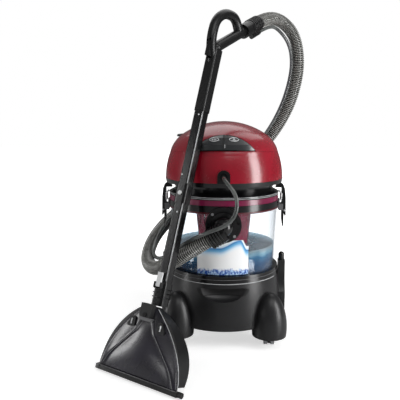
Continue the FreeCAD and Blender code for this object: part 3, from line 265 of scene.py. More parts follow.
# finishes
finishes = {
    "dome": mouldedPlastic("crimsonGloss", (0.28, 0.004, 0.016), 0.26, 0.04, 0.0012, 0.6, 0.02),
    "band": mouldedPlastic("burgundyGloss", (0.17, 0.006, 0.045), 0.24, 0.04, 0.0012, 0.4, 0.02),
    "base": mouldedPlastic("charcoalSatin", (0.014, 0.014, 0.015), 0.34, 0.22, 0.0007, 0.0, 0.04),
    "gloss": mouldedPlastic("blackGloss", (0.0035, 0.0035, 0.004), 0.20, 0.05, 0.0010, 0.15, 0.02),
    "satin": mouldedPlastic("blackSatin", (0.006, 0.006, 0.0065), 0.32, 0.12, 0.0007, 0.0, 0.05),
    "wand": mouldedPlastic("wandLacquer", (0.004, 0.004, 0.0045), 0.24, 0.10, 0.0009, 0.15, 0.02),
    "matt": mouldedPlastic("blackMatt", (0.004, 0.004, 0.0045), 0.6, 0.3, 0.0006, 0.0, 0.05),
    "grey": mouldedPlastic("greyFitting", (0.13, 0.13, 0.135), 0.35, 0.12, 0.0007, 0.2, 0.05),
    "key": mouldedPlastic("keyGraphite", (0.028, 0.030, 0.032), 0.24, 0.10, 0.0008, 0.5, 0.03),
    "pale": mouldedPlastic("paleFitting", (0.78, 0.79, 0.80), 0.3, 0.08, 0.0008, 0.3, 0.03),
    "rubber": mouldedPlastic("softRubber", (0.012, 0.012, 0.013), 0.75, 0.4, 0.0005, 0.0, 0.05, 0.3),
    "wheel": smokePlastic("wheelTyre", (0.62, 0.63, 0.65), 0.72, 0.3, 0.3),
    "felt": mouldedPlastic("filterFelt", (0.60, 0.60, 0.55), 0.95, 0.8, 0.0012, 0.0, 0.1, 0.1),
    "board": mouldedPlastic("boardGreen", (0.01, 0.08, 0.03), 0.4, 0.1, 0.0008, 0.2, 0.05),
    "steel": brushedMetal("brushedSteel", (0.62, 0.62, 0.64)),
    "alloy": brushedMetal("castAlloy", (0.5, 0.5, 0.52), 0.45),
    # last colour: painted shade on the tank's glancing edges
    "tank": clearPlastic("clearTank", (0.34, 0.35, 0.36), 0.04, 0.45, (0.12, 0.13, 0.14)),
    "basket": smokePlastic("basketCrimson", (0.30, 0.012, 0.05), 0.86, 0.2, 0.25),
    "smoke": smokePlastic("nozzleSmoke", (0.022, 0.020, 0.030), 0.97, 0.2, 0.24),
    "spray": smokePlastic("sprayTubing", (0.14, 0.15, 0.145), 0.70, 0.45, 0.12),
    "float": mouldedPlastic("floatFoam", (0.75, 0.75, 0.70), 0.6, 0.5, 0.0012, 0.0, 0.05),
    # glint: pale lines that stand for painted highlights and reflections
    "glint": mouldedPlastic("brightLine", (0.55, 0.56, 0.57), 0.2, 0.05, 0.0008, 0.4, 0.03),
    "label": labelFilm("waveLabel"),
    "water": tankWater("tankWater"),
    "maroon": mouldedPlastic("maroonRing", (0.09, 0.004, 0.012), 0.3, 0.05, 0.0010, 0.4, 0.03),
}
forks = [name for name in nodes if name.startswith("caster_fork")]
wheels = [name for name in nodes if name.startswith("caster_wheel")]
dress = {
    "dome": ["dome_cover", "head_skirt"], "band": ["separator_rim"], "base": ["base_shell"],
    "gloss": ["seat_ring", "tank_collar", "head_pan", "trim_ring", "latch_left", "latch_right",
              "hose_lock_ring", "accessory_pegs", "nozzle_neck", "hose_cuff", "spray_plug", "spray_jet"],
    "satin": ["inlet_flange", "carry_handle", "nozzle_back", "spray_socket", "handle_cuff", "wand_handle",
              "nozzle_lip", "inlet_duct", "spray_trigger"] + forks,
    "wand": ["wand_tube_lower", "wand_tube_upper", "wand_sleeve"],
    "matt": ["base_floor_plate", "key_tray"], "grey": ["latch_brackets", "float_cage"],
    "key": ["power_key", "pump_key"], "pale": ["nozzle_clip", "wand_button"],
    "rubber": ["head_gasket", "mains_gland"], "wheel": wheels, "felt": ["exhaust_filter"],
    "board": ["switch_board"], "steel": ["motor_can", "motor_rotor", "inlet_screws"],
    "alloy": ["fan_housing", "pump_body"], "tank": ["tank_shell"], "basket": ["separator_basket"],
    "smoke": ["nozzle_front"], "spray": ["spray_tube"], "float": ["float_ball"], "label": ["tank_label"],
}


def wear(obj, material):
    for spot in obj.material_slots:
        spot.material = material
    if not obj.material_slots:
        obj.data.materials.append(material)


for finish, names in dress.items():
    for name in names:
        wear(nodes[name], finishes[finish])
print("finishes on CAD nodes:", sum(len(names) for names in dress.values()))


# mesh helpers
def meshPiece(name, verts, faces, material, body="machine", smooth=True):
    mesh = bpy.data.meshes.new(name)
    mesh.from_pydata([tuple(v) for v in verts], [], faces)
    mesh.validate()
    piece = bpy.data.objects.new(name, mesh)
    bpy.context.scene.collection.objects.link(piece)
    mesh.materials.append(material)
    tidy = bmesh.new()
    tidy.from_mesh(mesh)
    bmesh.ops.remove_doubles(tidy, verts=tidy.verts, dist=1e-6)
    bmesh.ops.recalc_face_normals(tidy, faces=tidy.faces)
    tidy.to_mesh(mesh)
    tidy.free()
    for face in mesh.polygons:
        face.use_smooth = smooth
    if body:
        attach(piece, body)
    return piece


def joined(parts):
    verts, faces = [], []
    for someVerts, someFaces in parts:
        start = len(verts)
        verts += someVerts
        faces += [tuple(start + i for i in face) for face in someFaces]
    return verts, faces


def turnedRings(profile, count, matrix=None, closed=False):
    verts, faces = [], []
    rings = len(profile)
    for radius, height in profile:
        for step in range(count):
            angle = math.tau * step / count
            verts.append(Vector((radius * math.cos(angle), radius * math.sin(angle), height)))
    last = rings if closed else rings - 1
    for ring in range(last):
        for step in range(count):
            a = ring * count + step
            b = ring * count + (step + 1) % count
            c = ((ring + 1) % rings) * count + (step + 1) % count
            d = ((ring + 1) % rings) * count + step
            faces.append((a, b, c, d))
    if not closed:
        faces.append(tuple(range(count)))
        faces.append(tuple((rings - 1) * count + i for i in range(count)))
    if matrix:
        verts = [matrix @ v for v in verts]
    return verts, faces


def roundTube(path, radius, sides=10):
    verts, faces = [], []
    path = [Vector(p) for p in path]
    along = (path[1] - path[0]).normalized()
    side = along.orthogonal().normalized()
    for index, spot in enumerate(path):
        ahead = path[min(index + 1, len(path) - 1)] - path[max(index - 1, 0)]
        along = ahead.normalized()
        side = (side - along * side.dot(along)).normalized()
        up = along.cross(side)
        for step in range(sides):
            angle = math.tau * step / sides
            verts.append(spot + (side * math.cos(angle) + up * math.sin(angle)) * radius)
    for ring in range(len(path) - 1):
        for step in range(sides):
            a = ring * sides + step
            b = ring * sides + (step + 1) % sides
            faces.append((a, b, b + sides, a + sides))
    faces.append(tuple(range(sides)))
    faces.append(tuple((len(path) - 1) * sides + i for i in range(sides)))
    return verts, faces


def slab(outline, front, back):  # flat outline in X and Z, given a thickness in Y
    count = len(outline)
    verts = [Vector((x, front, z)) for x, z in outline] + [Vector((x, back, z)) for x, z in outline]
    faces = [tuple(range(count)), tuple(reversed(range(count, count * 2)))]
    faces += [(i, (i + 1) % count, count + (i + 1) % count, count + i) for i in range(count)]
    return verts, faces


def gridShell(outer, inner, rows, columns):  # two grids of points, closed round their edge
    faces, count, wide = [], len(outer), columns + 1
    for row in range(rows):
        for column in range(columns):
            a = row * wide + column
            ring = (a, a + 1, a + wide + 1, a + wide)
            faces += [ring, tuple(count + i for i in reversed(ring))]
    edge = list(range(wide)) + [(row + 1) * wide - 1 for row in range(1, rows + 1)]
    edge += [rows * wide + i for i in range(columns - 1, -1, -1)]
    edge += [row * wide for row in range(rows - 1, 0, -1)]
    faces += [(a, b, b + count, a + count) for a, b in zip(edge, edge[1:] + edge[:1])]
    return outer + inner, faces


def moved(part, matrix):
    return [matrix @ v for v in part[0]], part[1]


# camera and light
cameraPlace = {"spot": (0, -1.51, 0.610), "left": 2.47, "down": 9.0, "lens": 50,
               "sensor": 36}  # degrees and millimetres
eye = bpy.data.cameras.new("studioCamera")
eye.lens = cameraPlace["lens"]
eye.sensor_width = cameraPlace["sensor"]
watcher = bpy.data.objects.new("studioCamera", eye)
bpy.context.scene.collection.objects.link(watcher)
yaw, pitch = math.radians(cameraPlace["left"]), math.radians(cameraPlace["down"])
look = Vector((-math.sin(yaw) * math.cos(pitch), math.cos(yaw) * math.cos(pitch), -math.sin(pitch)))
watcher.location = cameraPlace["spot"]
watcher.rotation_euler = look.to_track_quat("-Z", "Y").to_euler()
bpy.context.scene.camera = watcher


def softbox(name, spot, aim, wide, tall, power):
    light = bpy.data.lights.new(name, "AREA")
    light.shape = "RECTANGLE"
    light.size, light.size_y = wide, tall
    light.energy = power
    lamp = bpy.data.objects.new(name, light)
    lamp.location = spot
    lamp.rotation_euler = (Vector(aim) - Vector(spot)).to_track_quat("-Z", "Y").to_euler()
    bpy.context.scene.collection.objects.link(lamp)


lights = {  # where it stands, what it faces, width, height, watts
    "rightStrip": ((1.35, -0.72, 0.62), (0, 0, 0.45), 0.5, 1.3, 22),
    "leftKick": ((-1.3, -1.25, 0.35), (-0.18, -0.35, 0.1), 0.3, 0.3, 1.8),
    "leftStrip": ((-1.6, -0.35, 0.62), (0, 0, 0.42), 0.2, 1.2, 8),
    "topBox": ((0.1, 1.0, 2.0), (0, 0, 0.4), 2.4, 1.2, 13),
    "frontFill": ((0.9, -1.9, 2.6), (0, 0, 0.3), 2.0, 1.2, 20),
}
for name, values in lights.items():
    softbox(name, *values)
world = bpy.data.worlds.new("studioAir")
bpy.context.scene.world = world
world.use_nodes = True
air = Kit(world.node_tree)
world.node_tree.nodes.clear()
seen = air.add("ShaderNodeLightPath")
fromBelow = air.split(air.add("ShaderNodeTexCoord", None, None, 0))[2]
airLook = {"around": 0.07, "overhead": 0.20}
soft = fromBelow.step(-0.25, 0.9) * airLook["overhead"] + airLook["around"]
backdrop = air.add("ShaderNodeBackground", None, {0: (1, 1, 1, 1), 1: seen + soft * (1 - seen)})
worldOut = world.node_tree.nodes.new("ShaderNodeOutputWorld")
world.node_tree.links.new(backdrop.socket, worldOut.inputs[0])

floorLook = {"dark": (0.66, 0.66, 0.66), "light": (0.70, 0.70, 0.70), "near": 0.62, "far": 0.7}
floorMaterial, kit = newMaterial("paperSweep")
mottle = kit.noise(kit.place(), 3, 2.0)
floorX, floorY, _ = kit.split(kit.place())
reach = (floorX * floorX + floorY * floorY).step(0.15, 1.6)  # whiter away from the machine
glow = kit.add("ShaderNodeLightPath") * (reach * floorLook["far"] + floorLook["near"])
finishMaterial(kit, principled(kit, {
    "Base Color": kit.mix(floorLook["dark"], floorLook["light"], mottle), "Roughness": 0.35,
    "Specular IOR Level": 0.3, "Emission Color": glow, "Emission Strength": 1.0}))
floor = meshPiece("studioFloor", [(-6, -4, 0), (6, -4, 0), (6, 8, 0), (-6, 8, 0)], [(0, 1, 2, 3)],
                  floorMaterial, None, False)
print("camera, lights and floor in place")


# hoses
hosePoints = [
    (-0.034, -0.203, 0.305), (-0.086, -0.201, 0.273), (-0.140, -0.160, 0.230), (-0.187, -0.097, 0.199),
    (-0.215, -0.013, 0.208), (-0.204, 0.080, 0.250), (-0.150, 0.160, 0.302), (-0.062, 0.216, 0.362),
    (0.042, 0.238, 0.430), (0.130, 0.230, 0.514), (0.190, 0.222, 0.608), (0.218, 0.230, 0.694),
    (0.226, 0.240, 0.768), (0.212, 0.243, 0.842), (0.165, 0.211, 0.881), (0.1186, 0.1479, 0.8762),
    (0.0921, 0.1078, 0.8564)]
tubePoints = [
    (0, -0.180, 0.453), (0, -0.211, 0.453), (0.031, -0.228, 0.418), (0.031, -0.230, 0.376),
    (0.008, -0.231, 0.346), (-0.041, -0.226, 0.327), (-0.088, -0.198, 0.299), (-0.136, -0.152, 0.254),
    (-0.174, -0.088, 0.224), (-0.199, -0.012, 0.225), (-0.188, 0.073, 0.266), (-0.138, 0.148, 0.320),
    (-0.058, 0.198, 0.378), (0.040, 0.219, 0.447), (0.120, 0.214, 0.530), (0.170, 0.210, 0.618),
    (0.196, 0.216, 0.700), (0.204, 0.226, 0.764), (0.192, 0.226, 0.818), (0.152, 0.192, 0.856),
    (0.1236, 0.1552, 0.8529), (0.0954, 0.1126, 0.8318)]


def smoothCurve(name, points):
    curve = bpy.data.curves.new(name, "CURVE")
    curve.dimensions = "3D"
    curve.resolution_u = 24
    spline = curve.splines.new("NURBS")
    spline.points.add(len(points) - 1)
    for spot, point in zip(spline.points, points):
        spot.co = (*point, 1)
    spline.order_u = 3
    spline.use_endpoint_u = True
    line = bpy.data.objects.new(name, curve)
    bpy.context.scene.collection.objects.link(line)
    return line


def centreLine(line):
    bpy.context.view_layer.update()
    mesh = bpy.data.meshes.new_from_object(line)
    return [v.co.copy() for v in mesh.vertices]


def pathLength(path):
    return sum((b - a).length for a, b in zip(path, path[1:]))


def newTree(name, fields):
    tree = bpy.data.node_groups.new(name, "GeometryNodeTree")
    tree.interface.new_socket("Geometry", in_out="INPUT", socket_type="NodeSocketGeometry")
    for label, kind in fields:
        tree.interface.new_socket(label, in_out="INPUT", socket_type=kind)
    tree.interface.new_socket("Geometry", in_out="OUTPUT", socket_type="NodeSocketGeometry")
    return tree, Kit(tree)


def applied(piece, tree, values, name):
    modifier = piece.modifiers.new("build", "NODES")
    modifier.node_group = tree
    for item in tree.interface.items_tree:
        if item.item_type == "SOCKET" and item.in_out == "INPUT" and item.name in values:
            modifier[item.identifier] = values[item.name]
    bpy.context.view_layer.update()
    seen = piece.evaluated_get(bpy.context.evaluated_depsgraph_get())
    mesh = bpy.data.meshes.new_from_object(seen, preserve_all_data_layers=True,
                                           depsgraph=bpy.context.evaluated_depsgraph_get())
    piece.modifiers.remove(modifier)
    result = bpy.data.objects.new(name, mesh)
    bpy.context.scene.collection.objects.link(result)
    bpy.data.objects.remove(piece)
    for face in mesh.polygons:
        face.use_smooth = True
    return result


def hoseTree():  # a tube along a curve whose wall rises and falls in ribs
    tree, kit = newTree("ribbedTube", [
        ("Radius", "NodeSocketFloat"), ("Rib depth", "NodeSocketFloat"), ("Rib pitch", "NodeSocketFloat"),
        ("Steps", "NodeSocketInt"), ("Sides", "NodeSocketInt"), ("Finish", "NodeSocketMaterial")])
    given = tree.nodes.new("NodeGroupInput")
    take = {socket.name: Wire(kit, socket) for socket in given.outputs if socket.name}
    fine = kit.add("GeometryNodeResampleCurve", None, {"Curve": take["Geometry"], "Count": take["Steps"]})
    along = kit.add("GeometryNodeSplineParameter", None, None, 1)
    marked = kit.add("GeometryNodeStoreNamedAttribute", {"data_type": "FLOAT", "domain": "POINT"},
                     {"Geometry": fine, "Name": "along", "Value": along})
    wave = (along * math.tau / take["Rib pitch"]).sin() * 0.5 + 0.5
    size = take["Radius"] - take["Rib depth"] * (1 - wave.sum("POWER", wave, 0.6))
    ring = kit.add("GeometryNodeCurvePrimitiveCircle", None, {"Resolution": take["Sides"], "Radius": 1.0})
    tube = kit.add("GeometryNodeCurveToMesh", None,
                   {"Curve": marked, "Profile Curve": ring, "Scale": size, "Fill Caps": True})
    whole = kit.add("GeometryNodeRealizeInstances", None, {"Geometry": tube})
    done = kit.add("GeometryNodeSetMaterial", None, {"Geometry": whole, "Material": take["Finish"]})
    result = tree.nodes.new("NodeGroupOutput")
    tree.links.new(done.socket, result.inputs[0])
    return tree


ribbed = hoseTree()
hoseLook = {"radius": 0.0185, "ribDepth": 0.0030, "pitch": 0.0052, "sides": 24, "ringsPerRib": 6,
            "across": 0.037}
tubeLook = {"radius": 0.00475, "ribDepth": 0.0, "pitch": 0.01, "sides": 18, "ringsPerRib": 4.64,
            "across": 0.0095}
# crest and valley colours: partly real, partly a painted highlight on the crests and painted shade in the
# valleys
finishes["hose"] = ribbedHose("corrugatedHose", (0.30, 0.30, 0.28), (0.003, 0.003, 0.003), 0.20,
                              hoseLook["pitch"])


def laidCord(name, node, points, look, finish):
    line = smoothCurve(name + "Line", points)
    path = centreLine(line)
    length = pathLength(path)
    cord = applied(line, ribbed, {
        "Radius": look["radius"], "Rib depth": look["ribDepth"], "Rib pitch": look["pitch"],
        "Steps": int(length / look["pitch"] * look["ringsPerRib"]), "Sides": look["sides"],
        "Finish": finishes[finish]}, name)
    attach(cord, "machine")
    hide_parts(node)
    return path, length


hosePath, hoseLength = laidCord("suctionHose", "suction_hose", hosePoints, hoseLook, "hose")
tubeLength = laidCord("sprayTube", "spray_tube", tubePoints, tubeLook, "spray")[1]
print("hose %.3f m, spray tube %.3f m" % (hoseLength, tubeLength))


# drape thin lines on a CAD node's surface
def surfaceOf(node):
    mesh = nodes[node].data
    return BVHTree.FromPolygons([v.co for v in mesh.vertices], [tuple(f.vertices) for f in mesh.polygons])


def draped(tree, spots, aim, lift):
    path = []
    for spot in spots:
        hit, normal, _, _ = tree.ray_cast(Vector(spot) - Vector(aim) * 0.4, Vector(aim))
        if hit:
            if normal.dot(Vector(aim)) > 0:
                normal = -normal
            path.append(hit + normal * lift)
    return path


def arcPath(radius, height, start, end, steps):  # angles in degrees, 0 at the front
    angles = [math.radians(start + (end - start) * i / steps) for i in range(steps + 1)]
    return [Vector((radius * math.sin(a), -radius * math.cos(a), height)) for a in angles]


# water in the tank
waterLook = {"foot": 0.1800, "top": 0.2575, "footRadius": 0.1346, "topRadius": 0.1381, "hub": 0.002,
             "sides": 128}
waterProfile = [
    (waterLook["hub"], waterLook["foot"]), (waterLook["footRadius"], waterLook["foot"]), (0.1356, 0.1975),
    (waterLook["topRadius"], waterLook["top"]), (waterLook["topRadius"] - 0.003, waterLook["top"] - 0.0008),
    (waterLook["hub"], waterLook["top"] - 0.001)]  # the surface dips slightly from the wall inwards
meshPiece("tankWater", *turnedRings(waterProfile, waterLook["sides"]), finishes["water"])

# painted highlight and reflection lines, dark-red ring and seams on the round parts
ringLook = {"line": 0.0009, "seam": 0.0006}
ringLines = {  # radius, height, start and end in degrees, steps, thickness, finish
    # the seat line is a painted highlight on the front arc; the two lid lines are painted reflections along
    # the flange
    "seatHighlightLine": (0.1512, 0.1775, -64, 64, 60, ringLook["line"], "glint"),
    "seatStepLine": (0.1500, 0.1880, -180, 179, 60, ringLook["seam"], "grey"),
    "lidReflectionLine1": (0.1480, 0.3950, -180, 179, 120, ringLook["seam"], "glint"),
    "lidReflectionLine2": (0.1482, 0.3985, -180, 179, 120, ringLook["seam"], "glint"),
}
for name, (radius, height, start, end, steps, thick, finish) in ringLines.items():
    meshPiece(name, *roundTube(arcPath(radius, height, start, end, steps), thick), finishes[finish])
underRing = [(0.1468, 0.3562), (0.1488, 0.3572), (0.1490, 0.3612), (0.1472, 0.3618)]
meshPiece("collarUnderRing", *turnedRings(underRing, 128, closed=True), finishes["maroon"])

# dark liner in the upper part of the finger recess: a painted shadow under the seat ring's lip
shadowLinerLook = {"wide": 0.0674, "deep": 0.0234, "high": 0.0344, "centreY": -0.1562, "centreZ": 0.1654,
             "drop": 0.019, "inner": 0.955, "tubFace": 0.1568, "tubReach": 0.1575, "rows": 14, "columns": 40}


def shadowLinerPoint(row, column, layer):
    z = -shadowLinerLook["drop"] * row / shadowLinerLook["rows"]
    shrink = math.sqrt(1 - (z / shadowLinerLook["high"]) ** 2) * layer
    angle = math.pi * column / shadowLinerLook["columns"]
    x = -shadowLinerLook["wide"] * shrink * math.cos(angle)
    y = shadowLinerLook["centreY"] + shadowLinerLook["deep"] * shrink * math.sin(angle)
    if math.hypot(x, y) > shadowLinerLook["tubReach"]:  # kept within the tub's own face
        y = -math.sqrt(max(0.0, shadowLinerLook["tubFace"] ** 2 - x ** 2))
    return Vector((x, y, shadowLinerLook["centreZ"] + z))


shadowLinerLayers = [[shadowLinerPoint(row, column, layer) for row in range(shadowLinerLook["rows"] + 1)
                for column in range(shadowLinerLook["columns"] + 1)] for layer in (1.0, shadowLinerLook["inner"])]
meshPiece("fingerLiner", *gridShell(*shadowLinerLayers, shadowLinerLook["rows"], shadowLinerLook["columns"]), finishes["matt"])

# symbols on the two rocker keys
keyLook = {"stroke": 0.0007, "wide": 0.0120, "tall": 0.0060, "centre": 0.0245, "height": 0.5400,
           "lead": -0.120, "lift": 0.0004, "aim": (0, 0.966, -0.259)}
hexagon = [(-1, 0), (-0.78, 0.5), (-0.4, 0.85), (0, 1), (0.4, 0.85), (0.78, 0.5), (1, 0), (0.78, -0.5),
           (0.4, -0.85), (0, -1), (-0.4, -0.85), (-0.78, -0.5), (-1, 0)]
symbols = {
    "power_key": (-1, [hexagon, [(0, 0.45), (0, -0.45)], [(-0.25, 0.4), (-0.42, 0), (-0.25, -0.4)],
                       [(0.25, 0.4), (0.42, 0), (0.25, -0.4)]]),
    "pump_key": (1, [hexagon, [(0, 0.55), (-0.2, 0.1), (-0.12, -0.2), (0.12, -0.2), (0.2, 0.1), (0, 0.55)],
                     [(-0.5, -0.4), (-0.25, -0.5), (0, -0.4), (0.25, -0.5), (0.5, -0.4)]]),
}
for keyName, (side, strokes) in symbols.items():
    surface = surfaceOf(keyName)
    parts = []
    for stroke in strokes:
        flat = [Vector((keyLook["centre"] * side + x * keyLook["wide"], keyLook["lead"],
                        keyLook["height"] + z * keyLook["tall"])) for x, z in stroke]
        fine = [a.lerp(b, i / 4) for a, b in zip(flat, flat[1:]) for i in range(4)] + [flat[-1]]
        parts.append(roundTube(draped(surface, fine, keyLook["aim"], keyLook["lift"]), keyLook["stroke"], 8))
    meshPiece(keyName + "Symbol", *joined(parts), finishes["pale"], keyName)
keyLines = {  # key, distance from the middle, top, steps of 1 mm down, lift, thickness, finish
    "keySplitLine": ("power_key", -0.0012, 0.5520, 46, 0.0001, 0.0009, "matt"),
    # the front tick is a painted highlight on the pump key's front face
    "keyFrontHighlight": ("pump_key", 0.0016, 0.5240, 10, 0.0004, 0.0008, "glint"),
}
for name, (keyName, x, top, steps, lift, thick, finish) in keyLines.items():
    spots = [(x, keyLook["lead"], top - 0.0010 * i) for i in range(steps)]
    meshPiece(name, *roundTube(draped(surfaceOf(keyName), spots, keyLook["aim"], lift), thick, 8),
              finishes[finish], keyName)

# louvres across the back of the head
louvreLook = {"count": 5, "start": -0.055, "step": 0.0044, "spots": 26, "low": 0.4720, "apart": 0.0055,
              "wire": 0.0011, "lift": 0.0002}
rearFace = surfaceOf("head_skirt")
for number in range(louvreLook["count"]):
    height = louvreLook["low"] + louvreLook["apart"] * number
    spots = [(louvreLook["start"] + louvreLook["step"] * i, 0.2, height) for i in range(louvreLook["spots"])]
    slat = draped(rearFace, spots, (0, -1, 0), louvreLook["lift"])
    meshPiece("rearLouvre%d" % (number + 1), *roundTube(slat, louvreLook["wire"], 8), finishes["matt"])
print("water, lines, key symbols and louvres in place")

# latch links, covers and screws
latchLook = {"wire": 0.0022, "linkSide": 0.1560, "linkHalf": 0.0105, "coverHalf": 0.0095, "screwSide": 0.1655,
             "screwHeight": 0.345}
coverEdge = [(0.1440, 0.4205), (0.1540, 0.4215), (0.1615, 0.4160), (0.1660, 0.4040), (0.1685, 0.3800),
             (0.1695, 0.3320), (0.1675, 0.3285), (0.1580, 0.3500), (0.1560, 0.3640), (0.1620, 0.3740),
             (0.1610, 0.3990), (0.1560, 0.4095), (0.1445, 0.4125)]  # broad hooked outline of the glossy cover
screwHead = [(0.0004, 0), (0.0030, 0), (0.0032, 0.0008), (0.0022, 0.0014), (0.0004, 0.0015)]
linkBend = [(0, 0.372), (0.0005, 0.392), (-0.004, 0.3965)]  # how far out from the link's side, and height
for side, body in ((-1, "latch_left"), (1, "latch_right")):
    arm = [((latchLook["linkSide"] + out) * side, height) for out, height in linkBend]
    link = [(x, -latchLook["linkHalf"], z) for x, z in arm]
    link += [(x, latchLook["linkHalf"], z) for x, z in arm[::-1]]
    meshPiece(body + "Link", *roundTube(link, latchLook["wire"], 12), finishes["pale"], body)
    meshPiece(body + "Cover", *slab([(x * side, z) for x, z in coverEdge], -latchLook["coverHalf"],
                                    latchLook["coverHalf"]), finishes["gloss"], body, False)
    toFront = (Matrix.Translation((latchLook["screwSide"] * side, -0.0096, latchLook["screwHeight"]))
               @ Matrix.Rotation(math.radians(90), 4, "X"))
    meshPiece(body + "Screw", *turnedRings(screwHead, 20, toFront), finishes["steel"], body)

# floor nozzle: moulded front with a fan, ridges, wings and inserts, in the wand's own frame
wandStand = {"foot": (-0.14718, -0.25381, 0.1706), "turn": 33.5, "lean": 20.6}  # metres and degrees
wandFrame = (Matrix.Translation(wandStand["foot"])
             @ Matrix.Rotation(-math.radians(wandStand["turn"]), 4, "Z")
             @ Matrix.Rotation(-math.radians(wandStand["lean"]), 4, "X"))
nozzleLook = {"low": -0.178, "top": -0.016, "wide": 0.118, "neck": 0.017, "bow": 0.0245, "face": -0.0322,
              "back": -0.0292, "bulge": 0.0060, "hollow": 0.0035, "ridge": 0.0014, "ridgeWidth": 0.0040,
              "fanTop": -0.050, "rim": 0.0022, "rimWidth": 0.0028, "wingDrop": 0.004, "across": 96, "up": 90}


def bellHalf(z):
    s = (z - nozzleLook["low"]) / (nozzleLook["top"] - nozzleLook["low"])
    chord = nozzleLook["wide"] + (nozzleLook["neck"] - nozzleLook["wide"]) * s
    return chord + nozzleLook["bow"] * 4 * s * (1 - s)


fanEdge = [(-0.178, 0.108), (-0.150, 0.0935), (-0.137, 0.0835), (-0.108, 0.0560), (-0.077, 0.0270),
           (-0.050, 0.0175), (-0.016, 0.0120)]


def fanHalf(z):
    for (low, wide), (high, narrow) in zip(fanEdge, fanEdge[1:]):
        if z <= high:
            return wide + (narrow - wide) * (z - low) / (high - low)
    return fanEdge[-1][1]


def nozzleDepth(x, z):  # how far forward the moulding stands at a spot
    half = fanHalf(z)
    inside = max(0.0, 1 - (x / half) ** 2)
    s = (z - nozzleLook["low"]) / (nozzleLook["fanTop"] - nozzleLook["low"])
    swell = math.sin(math.pi * min(1.0, max(0.0, s)) ** 0.8)
    depth = nozzleLook["face"]
    if z < -0.048:
        hollow = nozzleLook["hollow"] * inside ** 0.5 * max(0.0, s - 0.45)
        depth -= nozzleLook["bulge"] * inside * swell - hollow
    else:
        depth -= 0.002 * inside
    depth -= nozzleLook["ridge"] * math.exp(-((abs(x) - half) / nozzleLook["ridgeWidth"]) ** 2)
    rim = math.exp(-((bellHalf(z) - abs(x)) / nozzleLook["rimWidth"]) ** 2)
    wing = max(0.0, (abs(x) - half) / (bellHalf(z) - half + 1e-6)) ** 2
    return depth - nozzleLook["rim"] * rim + nozzleLook["wingDrop"] * wing


def nozzleSkin():
    across, up = nozzleLook["across"], nozzleLook["up"]
    front = []
    for row in range(up + 1):
        z = nozzleLook["low"] + (nozzleLook["top"] - nozzleLook["low"]) * row / up
        for column in range(across + 1):
            x = bellHalf(z) * (2 * column / across - 1)
            front.append(Vector((x, nozzleDepth(x, z), z)))
    return gridShell(front, [Vector((v.x, nozzleLook["back"], v.z)) for v in front], up, across)


nozzleFront = meshPiece("nozzleMoulding", *moved(nozzleSkin(), wandFrame), finishes["smoke"])
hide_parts("nozzle_front")
nozzleBlocks = {  # outline across and up, front, back, finish
    "nozzleLedge": ([(-0.020, -0.0440), (0.020, -0.0440), (0.017, -0.0515), (-0.017, -0.0515)],
                    -0.0415, -0.0335, "grey"),
    "neckBlock": ([(-0.0165, -0.012), (0.0165, -0.012), (0.0160, -0.0405), (0.0135, -0.0435),
                   (-0.0135, -0.0435), (-0.0160, -0.0405)], -0.0470, -0.0325, "matt"),
}
for name, (outline, front, back, finish) in nozzleBlocks.items():
    meshPiece(name, *moved(slab(outline, front, back), wandFrame), finishes[finish], smooth=False)
fanLook = {"low": -0.176, "long": 0.124, "steps": 40, "wire": 0.0009, "lift": 0.0004}
wingLook = {"x": 0.0440, "z": -0.0605, "front": -0.0352, "back": -0.0300, "slot": 0.0017}
wingEdge = [(-0.010, 0.010), (-0.004, 0.0135), (0.0015, 0.012), (0.0120, -0.006), (0.0110, -0.0105),
            (0.006, -0.0120), (-0.008, -0.0100), (-0.0105, -0.007)]  # insert's outline round its middle
slotLine = [(-0.001, -0.0354, -0.006), (0, -0.0356, 0), (-0.001, -0.0354, 0.007)]
for side, hand in ((-1, "Left"), (1, "Right")):
    # light tubes on the fan's raised ridges: their pale colour is a painted highlight along the ridges
    ridge = []
    for step in range(fanLook["steps"] + 1):
        z = fanLook["low"] + fanLook["long"] * step / fanLook["steps"]
        x = fanHalf(z) * side
        ridge.append(Vector((x, nozzleDepth(x, z) - fanLook["lift"], z)))
    meshPiece("fanRidge" + hand, *moved(roundTube(ridge, fanLook["wire"], 8), wandFrame), finishes["grey"])
    insert = [((wingLook["x"] + x) * side, wingLook["z"] + z) for x, z in wingEdge]
    meshPiece("wingInsert" + hand, *moved(slab(insert, wingLook["front"], wingLook["back"]), wandFrame),
              finishes["matt"], smooth=False)
    slot = [((wingLook["x"] + x) * side, y, wingLook["z"] + z) for x, y, z in slotLine]
    meshPiece("wingSlot" + hand, *moved(roundTube(slot, wingLook["slot"], 12), wandFrame), finishes["pale"])
seamLook = {"rise": 0.158, "steps": 40, "out": 0.0006, "wire": 0.0010, "lipHigh": -0.1788,
            "lipFront": -0.0352}
lipLine = [(side * nozzleLook["wide"], seamLook["lipFront"], seamLook["lipHigh"]) for side in (-1, 1)]
meshPiece("lipTopLine", *moved(roundTube(lipLine, fanLook["wire"], 8), wandFrame), finishes["grey"])
# pale line along the right edge of the moulding: a painted highlight
seamHeights = [nozzleLook["low"] + seamLook["rise"] * i / seamLook["steps"]
               for i in range(seamLook["steps"] + 1)]
edgeHighlightPath = [Vector((bellHalf(z) + seamLook["out"], nozzleLook["back"], z)) for z in seamHeights]
meshPiece("nozzleSeamLine", *moved(roundTube(edgeHighlightPath, seamLook["wire"], 8), wandFrame), finishes["glint"])
endTab = [(-0.1230, -0.1892), (-0.1130, -0.1892), (-0.1130, -0.1745), (-0.1230, -0.1790)]
meshPiece("lipEndTab", *moved(slab(endTab, -0.0362, -0.0210), wandFrame), finishes["grey"])
print("nozzle moulding in place")
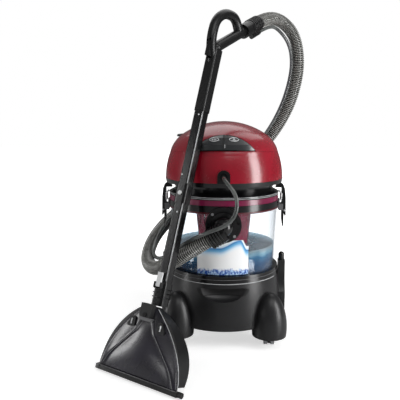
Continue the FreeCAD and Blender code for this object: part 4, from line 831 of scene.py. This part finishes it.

# wand: rivets, collar rings and painted highlights along the front edge
wandLook = {"rivet": 0.0024, "face": -0.0138, "ringHalf": 0.0172, "ringBend": 0.006, "ringWire": 0.0012,
            "edge": 0.0124, "edgeWire": 0.0010}
rivets = {"rivetUpper": (-0.0075, 0.3050), "rivetLower": (0.0020, 0.2120), "rivetGrip": (0.0036, 0.4580)}
rivetDome = [(0.0003, 0), (wandLook["rivet"], 0), (wandLook["rivet"] * 0.8, 0.0009), (0.0003, 0.0013)]
for name, (x, z) in rivets.items():
    spin = Matrix.Translation((x, wandLook["face"], z)) @ Matrix.Rotation(math.radians(90), 4, "X")
    meshPiece(name, *moved(turnedRings(rivetDome, 20, spin), wandFrame), finishes["pale"])
for number, height in enumerate((0.006, 0.016, 0.026)):
    flat, bend = wandLook["ringHalf"] - wandLook["ringBend"], wandLook["ringBend"]
    ring = []
    for corner, (sideX, sideY) in enumerate(((1, 1), (-1, 1), (-1, -1), (1, -1))):
        for step in range(5):
            angle = math.radians(90 * corner + 22.5 * step)
            ring.append(Vector((flat * sideX + bend * math.cos(angle),
                                flat * sideY + bend * math.sin(angle), height)))
    ring.append(ring[0].copy())
    meshPiece("neckRing%d" % (number + 1), *moved(roundTube(ring, wandLook["ringWire"], 8), wandFrame),
              finishes["gloss"])
# pale lines on the wand's front corner: painted highlights
for name, low, high in (("wandEdgeHighlight", 0.046, 0.234), ("wandEdgeHighlightUpper", 0.284, 0.466)):
    edge = [(wandLook["edge"], -wandLook["edge"], height) for height in (low, high)]
    meshPiece(name, *moved(roundTube(edge, wandLook["edgeWire"], 8), wandFrame), finishes["glint"])
print("wand details in place")

# ribbed cuffs at both ends of the hose
portAim = Vector((0.5103, 0.7710, 0.3811)).normalized()
cuffs = {  # where the first rib's end is, the way out, count, first gap, spacing, rib profile
    "gripCuffRib": (Vector((0.0921, 0.1078, 0.8564)), portAim, 6, 0.008, 0.0078,
                    [(0.0196, -0.0022), (0.0214, -0.0012), (0.0214, 0.0012), (0.0196, 0.0022)]),
    "inletCuffRib": (hosePath[0], (hosePath[6] - hosePath[0]).normalized(), 5, 0.004, 0.0072,
                     [(0.0238, -0.0020), (0.0256, -0.0010), (0.0256, 0.0010), (0.0238, 0.0020)]),
}
for name, (spot, aim, count, gap, spacing, profile) in cuffs.items():
    for number in range(count):
        centre = spot - aim * (gap + spacing * number)
        turn = Matrix.Translation(centre) @ aim.to_track_quat("Z", "Y").to_matrix().to_4x4()
        meshPiece("%s%d" % (name, number + 1), *turnedRings(profile, 40, turn, True), finishes["satin"])
print("cuff ribs in place")
